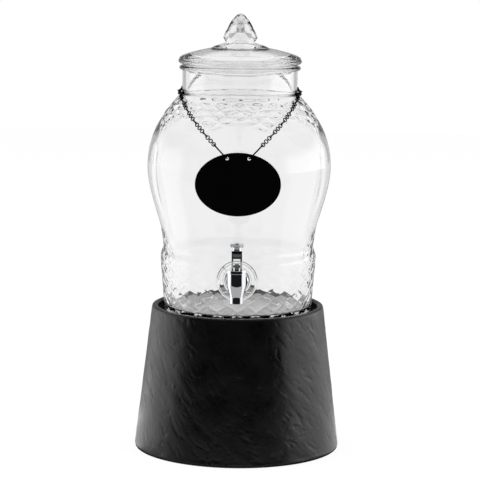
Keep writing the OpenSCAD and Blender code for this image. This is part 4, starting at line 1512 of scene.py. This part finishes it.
@dataclass
class ChainAndTag:
    """Chain of round links round the neck, two wire hooks and the oval chalkboard tag."""

    jar: Jar
    link_d: float = 5.6
    joint_d: float = 4.25
    link_wire: float = 0.95
    ring_d: float = 5.7
    bold_wire: float = 1.35
    thin_wire: float = 0.65
    slack: float = 0.15
    gap: float = 0.3
    hook_angle: float = 15.4
    hook_height: float = 221.5
    curve: float = 2.3
    side_height: float = 274.457
    back_height: float = 296.457
    back_angle: float = 145.0
    hook_wire: float = 1.4
    drawn_wire: float = 1.8
    eye_d: float = 5.4
    tag_back: float = 112.3
    tag_front: float = 114.3
    tag_z: float = 338.2
    half_width: float = 50.5
    half_tall: float = 37.5
    hole_z: float = 368.7
    hole_x: float = 12.9
    hole_r: float = 2.0
    samples: int = 240

    def at(self, degrees: float) -> tuple[np.ndarray, np.ndarray]:
        """Finds the chain's place and the glass's outward direction at an angle from the front.

        Args:
            degrees: Angle, from the right hook round the back to the left one.

        Returns:
            The place in millimetres and the outward direction.
        """
        turned = degrees if degrees <= 180 else 360 - degrees
        t = min(1.0, (turned - self.hook_angle) / (90 - self.hook_angle))
        h = self.hook_height + (self.side_height - self.hook_height) * (1 - (1 - t) ** self.curve)
        h += (self.back_height - self.side_height) * float(smooth_step(90, self.back_angle, np.array(turned)))
        tilt = float(self.jar.slope(np.array(h)))
        out, up = 1 / math.hypot(1, tilt), -tilt / math.hypot(1, tilt)
        off = self.eye_d / 2 + self.gap
        r = float(self.jar.radius(np.array(h))) + off * out
        a = math.radians(degrees)
        spot = np.array([r * math.sin(a), -r * math.cos(a), self.jar.seat_z + h + off * up])
        return spot, np.array([out * math.sin(a), -out * math.cos(a), up])

    def heading(self, degrees: float) -> tuple[np.ndarray, np.ndarray]:
        """Finds the chain's direction and its outward direction across that.

        Args:
            degrees: Angle from the front.

        Returns:
            Two unit vectors.
        """
        along = self.at(degrees + 0.3)[0] - self.at(degrees - 0.3)[0]
        along = along / np.linalg.norm(along)
        out = self.at(degrees)[1]
        out = out - out.dot(along) * along
        return along, out / np.linalg.norm(out)

    def lie(self, number: int) -> float:
        """Angle by which a link is turned out of the glass's plane.

        Three large links lie flat and the fourth is on edge, with the small ones turned to suit.

        Args:
            number: The link's number from the nearer hook; even ones are large.

        Returns:
            The angle in radians.
        """
        on_edge = [n // 2 % 4 == 3 for n in (number, number + 1)]
        if number % 2 == 0:
            return math.pi / 2 if on_edge[0] else 0.0
        return math.pi / 4 if any(on_edge) else math.pi / 2

    def build_chain(self) -> None:
        """Sets large and small links by turns along the chain's course, each turned against the last."""
        angles = np.linspace(self.hook_angle, 360 - self.hook_angle, self.samples + 1)
        course = np.array([self.at(a)[0] for a in angles])
        sums = np.concatenate([[0], np.cumsum(np.linalg.norm(np.diff(course, axis=0), axis=1))])
        large, small = ((d - self.link_wire) / 2 for d in (self.link_d, self.joint_d))
        count = 2 * int(sums[-1] / (large - self.link_wire - self.slack + small) / 2) + 1
        places, alongs, axles = [], [], []
        for k in range(count):
            a = float(np.interp(sums[-1] * k / (count - 1), sums, angles))
            along, out = self.heading(a)
            lie = self.lie(min(k, count - 1 - k))
            places.append(tuple(self.at(a)[0] * MM))
            alongs.append(along)
            axles.append(math.cos(lie) * out + math.sin(lie) * np.cross(along, out))
        mesh = bpy.data.meshes.new("ring_chain")
        mesh.from_pydata(places, [], [])
        for name, values in (("along", alongs), ("axle", axles)):
            vectors = mesh.attributes.new(name, "FLOAT_VECTOR", "POINT").data
            vectors.foreach_set("vector", np.array(values).ravel())
        small_ones = mesh.attributes.new("small", "BOOLEAN", "POINT").data
        small_ones.foreach_set("value", [k % 2 == 1 for k in range(count)])
        piece = link_rule().run("ring_chain", mesh,
                                {"Large Ring": (self.ring_d - self.bold_wire) / 2 * MM,
                                 "Small Ring": (self.bold_wire + self.thin_wire / 2 + 0.03) * MM,
                                 "Large Wire": self.bold_wire / 2 * MM, "Small Wire": self.thin_wire / 2 * MM,
                                 "Finish": WIRE.material()})
        dress(piece, WIRE, 70, "jar", "neck_chain")

    def hook_line(self) -> list[np.ndarray]:
        """Lists the right hook's course: its eye in the last link, over the tag's edge and through its hole.

        Returns:
            Points in millimetres.
        """
        along, out = self.heading(self.hook_angle)
        wire = self.hook_wire / 2
        eye = self.eye_d / 2 - wire
        reach = eye + self.ring_d / 2 - self.bold_wire - self.drawn_wire / 2 - 0.05
        centre = self.at(self.hook_angle)[0] - along * reach
        turns = np.radians(315 - 270 * np.arange(25) / 24)
        ring = [centre + eye * (math.sin(a) * out - math.cos(a) * along) for a in turns]
        enter = np.array([self.hole_x, -(self.tag_front + wire + 0.5), self.hole_z + 0.4])
        leave = np.array([self.hole_x, -(self.tag_back - wire - 0.9), self.hole_z + 0.4])
        rise = self.tag_z + self.half_tall - self.hole_z - 0.8
        over = enter + (ring[-1] - enter) * rise / (ring[-1][2] - enter[2])
        over[1] = enter[1]
        up = (ring[-1] - over) / np.linalg.norm(ring[-1] - over)
        down = (enter - over) / np.linalg.norm(enter - over)
        return (ring + bend(over + up * 2.5, over, over + down * 2.0, 8)
                + bend(enter - down * 2.0, enter, enter + np.array([0, 1.5, 0]), 8)
                + bend(leave - np.array([0, 1.0, 0]), leave, leave + np.array([2.4, 0, 0]), 8))

    def oval(self, x: float, y: float, z: float, radii: tuple[float, float], count: int) -> list[Point]:
        """Lists points on an upright oval.

        Args:
            x: Its middle, to the right.
            y: Its distance to the front.
            z: Its middle's height.
            radii: Half its width and half its height.
            count: Number of points.

        Returns:
            The points.
        """
        a = np.linspace(0, 2 * math.pi, count, endpoint=False)
        return list(zip(x + radii[0] * np.cos(a), [-y] * count, z + radii[1] * np.sin(a)))

    def build_tag(self) -> None:
        """Builds the oval plate with a rounded front edge and two holes."""
        back, front, r = self.tag_back, self.tag_front, self.hole_r
        insets = ((0.25, back), (0.0, back + 0.25), (0.0, front - 0.6), (0.1, front - 0.3),
                  (0.3, front - 0.1), (0.6, front))
        walls = [[self.oval(0.0, y, self.tag_z, (self.half_width - i, self.half_tall - i), 120)
                  for i, y in insets]]
        for x in (-self.hole_x, self.hole_x):
            walls.append([self.oval(x, y, self.hole_z, (size, size), 28)
                          for y, size in ((back, r), (front - 0.2, r), (front, r + 0.2))])
        points: list[Point] = []
        faces: Faces = []
        rims: list[list[list[int]]] = [[], []]
        for wall in walls:
            rows = []
            for ring in wall:
                rows.append(list(range(len(points), len(points) + len(ring))))
                points += ring
            faces += grid_faces(rows, False)
            rims[0].append(rows[0])
            rims[1].append(rows[-1])
        mesh = new_mesh("oval_tag", np.array(points), faces)

        def fill(work: bmesh.types.BMesh) -> None:
            """Closes the back and the front between the oval and the holes.

            Args:
                work: The tag's walls, ready to edit.
            """
            work.verts.ensure_lookup_table()
            for side in rims:
                edges = [work.edges.get((work.verts[ring[k - 1]], work.verts[ring[k]]))
                         for ring in side for k in range(len(ring))]
                bmesh.ops.triangle_fill(work, use_beauty=True, use_dissolve=False, edges=edges)
            bmesh.ops.recalc_face_normals(work, faces=work.faces)

        rework(mesh, fill)
        dress(new_object("oval_tag", mesh), CHALKBOARD, 35, "tag", "chalk_tag")

    def build(self) -> None:
        """Builds the chain, the hooks and the tag."""
        self.build_chain()
        line = self.hook_line()
        for name, side, node in (("wire_hook_right", 1, "right_hook"), ("wire_hook_left", -1, "left_hook")):
            piece = draw_wire(name, [(side * p[0], p[1], p[2]) for p in line], self.drawn_wire, 12, WIRE)
            dress(piece, WIRE, 50, "jar", node)
        self.build_tag()


# Studio


@dataclass
class Studio:
    """White floor and backdrop, bright sides, and a dark side behind the camera for the chrome."""

    ambient: float = 0.6
    dark: float = 0.012
    front: float = 0.004
    band: float = 0.09
    left_edge: float = 76.0
    left_level: float = 1.6
    right_edge: float = 64.0
    right_level: float = 2.5
    back_edges: tuple[float, float] = (122.0, 150.0)
    floor_level: float = 1.2
    near_level: float = 0.48
    back_level: float = 0.5
    through: float = 0.865
    flag: float = 0.5
    floor_r: float = 4000.0
    floor_z: float = -0.2
    near_edges: tuple[float, float] = (-0.58, -0.5)
    seen_level: float = 1.08
    through_gain: float = 1.04
    glow_share: float = 0.82

    def side_levels(self, tree: bpy.types.NodeTree, way: bpy.types.NodeSocket, dark: float,
                    right: float) -> bpy.types.NodeSocket:
        """Adds the nodes for what a mirror sees all round: dark in front, bright from each side to the back.

        Args:
            tree: Tree that gets the nodes.
            way: Direction or place on the floor.
            dark: Level in front.
            right: Level on the right.

        Returns:
            The level.
        """
        part = add_node(tree, "ShaderNodeSeparateXYZ", {0: way}).outputs
        toward = add_node(tree, "ShaderNodeMath", {0: part["Y"], 1: -1.0}, operation="MULTIPLY").outputs[0]
        turn = add_node(tree, "ShaderNodeMath", {0: part["X"], 1: toward}, operation="ARCTAN2").outputs[0]
        spread = add_node(tree, "ShaderNodeMath", {0: turn}, operation="ABSOLUTE").outputs[0]
        start, end = self.back_edges
        right_side, left_side, behind = (
            add_node(tree, "ShaderNodeMapRange",
                     {"Value": value, "From Min": math.radians(low), "From Max": math.radians(high),
                      "To Min": plain, "To Max": bright}, interpolation_type="SMOOTHSTEP").outputs[0]
            for value, low, high, plain, bright in (
                (turn, self.right_edge * 0.9, self.right_edge * 1.1, dark, right),
                (turn, -self.left_edge * 0.9, -self.left_edge * 1.1, 0.0, self.left_level),
                (spread, start, end, 0.0, 1.0)))
        level = add_node(tree, "ShaderNodeMath", {0: right_side, 1: left_side},
                         operation="MAXIMUM").outputs[0]
        return add_node(tree, "ShaderNodeMix",
                        {"Factor": behind, "A": level, "B": self.back_level}).outputs[0]

    def build_world(self) -> None:
        """Makes the surroundings: plain for matt faces, white for the camera, bright-sided in a mirror."""
        world = bpy.data.worlds.new("studio")
        bpy.context.scene.world = world
        world.use_nodes = True
        tree = world.node_tree
        tree.nodes.clear()
        way = add_node(tree, "ShaderNodeTexCoord").outputs["Generated"]
        part = add_node(tree, "ShaderNodeSeparateXYZ", {0: way}).outputs
        aside = add_node(tree, "ShaderNodeMath", {0: part["X"]}, operation="ABSOLUTE").outputs[0]
        # Distance from a low, wide band in front that greys the chrome
        off = part["Z"]
        for operation, value in (("SUBTRACT", 0.04), ("ABSOLUTE", 0.0), ("MULTIPLY", 2.6),
                                 ("MAXIMUM", aside)):
            off = add_node(tree, "ShaderNodeMath", {0: off, 1: value}, operation=operation).outputs[0]
        # Each ramp's name, what it follows, where it starts and ends, and its levels there
        ramps: dict[str, bpy.types.NodeSocket] = {}
        for name, value, start, end, low, high in (
                ("rear", part["Y"], -0.1, 0.2, 0.35, 1.0),
                ("above", part["Z"], 0.32, 0.55, 0.0, "rear"),
                ("fall", part["Z"], 0.1, 0.3, 1.0, 0.25),
                ("band", off, 0.2, 0.27, self.band, 0.0),
                ("lift", part["Z"], 0.08, 0.25, self.flag, 1.0),
                ("inner", aside, 0.2, 0.34, self.through, "lift"),
                ("outer", aside, 0.5, 0.66, 0.0, 1.1),
                ("sky", part["Z"], 0.45, 0.9, 1.0, 1.1)):
            ramps[name] = add_node(tree, "ShaderNodeMapRange",
                                   {"Value": value, "From Min": start, "From Max": end, "To Min": low,
                                    "To Max": ramps.get(high, high)},
                                   interpolation_type="SMOOTHSTEP").outputs[0]
        mirror = self.side_levels(tree, way, self.front, self.right_level)
        for operation, name in (("MULTIPLY", "fall"), ("MAXIMUM", "above"), ("MAXIMUM", "band")):
            mirror = add_node(tree, "ShaderNodeMath", {0: mirror, 1: ramps[name]},
                              operation=operation).outputs[0]
        clear = ramps["inner"]
        for operation, name in (("MAXIMUM", "outer"), ("MULTIPLY", "sky")):
            clear = add_node(tree, "ShaderNodeMath", {0: clear, 1: ramps[name]},
                             operation=operation).outputs[0]
        path = add_node(tree, "ShaderNodeLightPath").outputs
        level = self.ambient
        for ray, seen in (("Is Glossy Ray", mirror), ("Is Transmission Ray", clear), ("Is Camera Ray", 1.0)):
            level = add_node(tree, "ShaderNodeMix", {"Factor": path[ray], "A": level, "B": seen}).outputs[0]
        sky = add_node(tree, "ShaderNodeBackground", {"Color": linear("#ffffff"), "Strength": level})
        add_node(tree, "ShaderNodeOutputWorld", {"Surface": sky.outputs[0]})

    def build_floor(self) -> None:
        """Lays a white floor with a soft shadow, dark to a mirror from about half a metre in front on."""
        mesh = revolve("floor", [(0.0, self.floor_z), (self.floor_r, self.floor_z)], 64)
        floor = new_object("floor", mesh)
        for polygon in mesh.polygons:
            polygon.flip()
        material = bpy.data.materials.new("white_paper_sweep")
        material.use_nodes = True
        tree = material.node_tree
        tree.nodes.clear()
        spot = add_node(tree, "ShaderNodeTexCoord").outputs["Object"]
        forward = add_node(tree, "ShaderNodeSeparateXYZ", {0: spot}).outputs["Y"]
        start, end = self.near_edges
        near = add_node(tree, "ShaderNodeMapRange",
                        {"Value": forward, "From Min": start, "From Max": end, "To Max": self.near_level},
                        interpolation_type="SMOOTHSTEP").outputs[0]
        sides = self.side_levels(tree, spot, self.dark, self.floor_level)
        mirror = add_node(tree, "ShaderNodeMath", {0: sides, 1: near}, operation="MAXIMUM").outputs[0]
        path = add_node(tree, "ShaderNodeLightPath").outputs
        seen = add_node(tree, "ShaderNodeMath", {0: path["Is Camera Ray"], 1: path["Is Transmission Ray"]},
                        operation="MAXIMUM").outputs[0]
        plain = add_node(tree, "ShaderNodeMix",
                         {"Factor": path["Is Transmission Ray"], "A": self.seen_level,
                          "B": self.through * self.through_gain}).outputs[0]
        level = add_node(tree, "ShaderNodeMix", {"Factor": seen, "A": mirror, "B": plain}).outputs[0]
        paper = add_node(tree, "ShaderNodeBsdfDiffuse", {"Color": linear("#f7f7f7")}).outputs[0]
        white = add_node(tree, "ShaderNodeEmission",
                         {"Color": linear("#ffffff"), "Strength": level}).outputs[0]
        share = seen
        for operation, value in (("MULTIPLY", self.glow_share), ("MAXIMUM", path["Is Glossy Ray"])):
            share = add_node(tree, "ShaderNodeMath", {0: share, 1: value}, operation=operation).outputs[0]
        mixed = add_node(tree, "ShaderNodeMixShader", {0: share, 1: paper, 2: white})
        add_node(tree, "ShaderNodeOutputMaterial", {"Surface": mixed.outputs[0]})
        mesh.materials.append(material)

    def build_lamps(self) -> None:
        """Hangs a soft lamp at each side and one above, for matt faces only."""
        target = Vector((0, 0, 0.25))
        for name, spot, size, watts in (("right_softbox", (1.7, -1.3, 1.0), 1.6, 14.0),
                                        ("left_softbox", (-2.0, -0.4, 0.9), 1.4, 10.0),
                                        ("top_softbox", (0.0, 0.4, 2.4), 2.0, 12.0)):
            data = bpy.data.lights.new(name, "AREA")
            data.energy = watts
            data.size = size
            data.shape = "SQUARE"
            lamp = bpy.data.objects.new(name, data)
            bpy.context.scene.collection.objects.link(lamp)
            lamp.location = spot
            lamp.rotation_euler = (target - Vector(spot)).to_track_quat("-Z", "Y").to_euler()
            lamp.visible_glossy = lamp.visible_transmission = False

    def build(self) -> None:
        """Builds the surroundings, the floor and the lamps."""
        bpy.context.scene.view_settings.view_transform = "Standard"
        self.build_world()
        self.build_floor()
        self.build_lamps()


@dataclass
class Viewpoint:
    """The camera at the photograph's viewing angle, a little to the right and not quite level, as there."""

    distance: float = 2612.0
    height: float = 647.5
    pitch: float = 8.53
    azimuth: float = 0.6
    roll: float = 0.6
    sensor: float = 36.0
    focal_px: float = 2149.0
    image_px: float = 480.0
    axis_px: float = 238.3

    def build(self) -> None:
        """Makes the camera and lets the scene look through it."""
        data = bpy.data.cameras.new("camera")
        data.sensor_width = self.sensor
        data.lens = self.sensor * self.focal_px / self.image_px
        data.clip_start = 0.1
        data.clip_end = 50.0
        camera = bpy.data.objects.new("camera", data)
        bpy.context.scene.collection.objects.link(camera)
        side = math.radians(self.azimuth)
        aside = math.atan((self.image_px / 2 - self.axis_px) / self.focal_px)
        spot = Vector((self.distance * math.sin(side), -self.distance * math.cos(side), self.height)) * MM
        camera.matrix_world = (Matrix.Translation(spot) @ Matrix.Rotation(side - aside, 4, "Z")
                               @ Matrix.Rotation(math.radians(90 - self.pitch), 4, "X")
                               @ Matrix.Rotation(math.radians(self.roll), 4, "Z"))
        bpy.context.scene.camera = camera


def main() -> None:
    """Builds the studio and every sub-assembly."""
    logging.basicConfig(level=logging.INFO, format="%(name)s: %(message)s")
    Viewpoint().build()
    Studio().build()
    jar = Jar()
    for assembly in (Stand(), jar, Lid(), Tap(), Lever(), ChainAndTag(jar)):
        assembly.build()
        LOG.info("%s done", type(assembly).__name__)


if __name__ == "__main__":
    main()
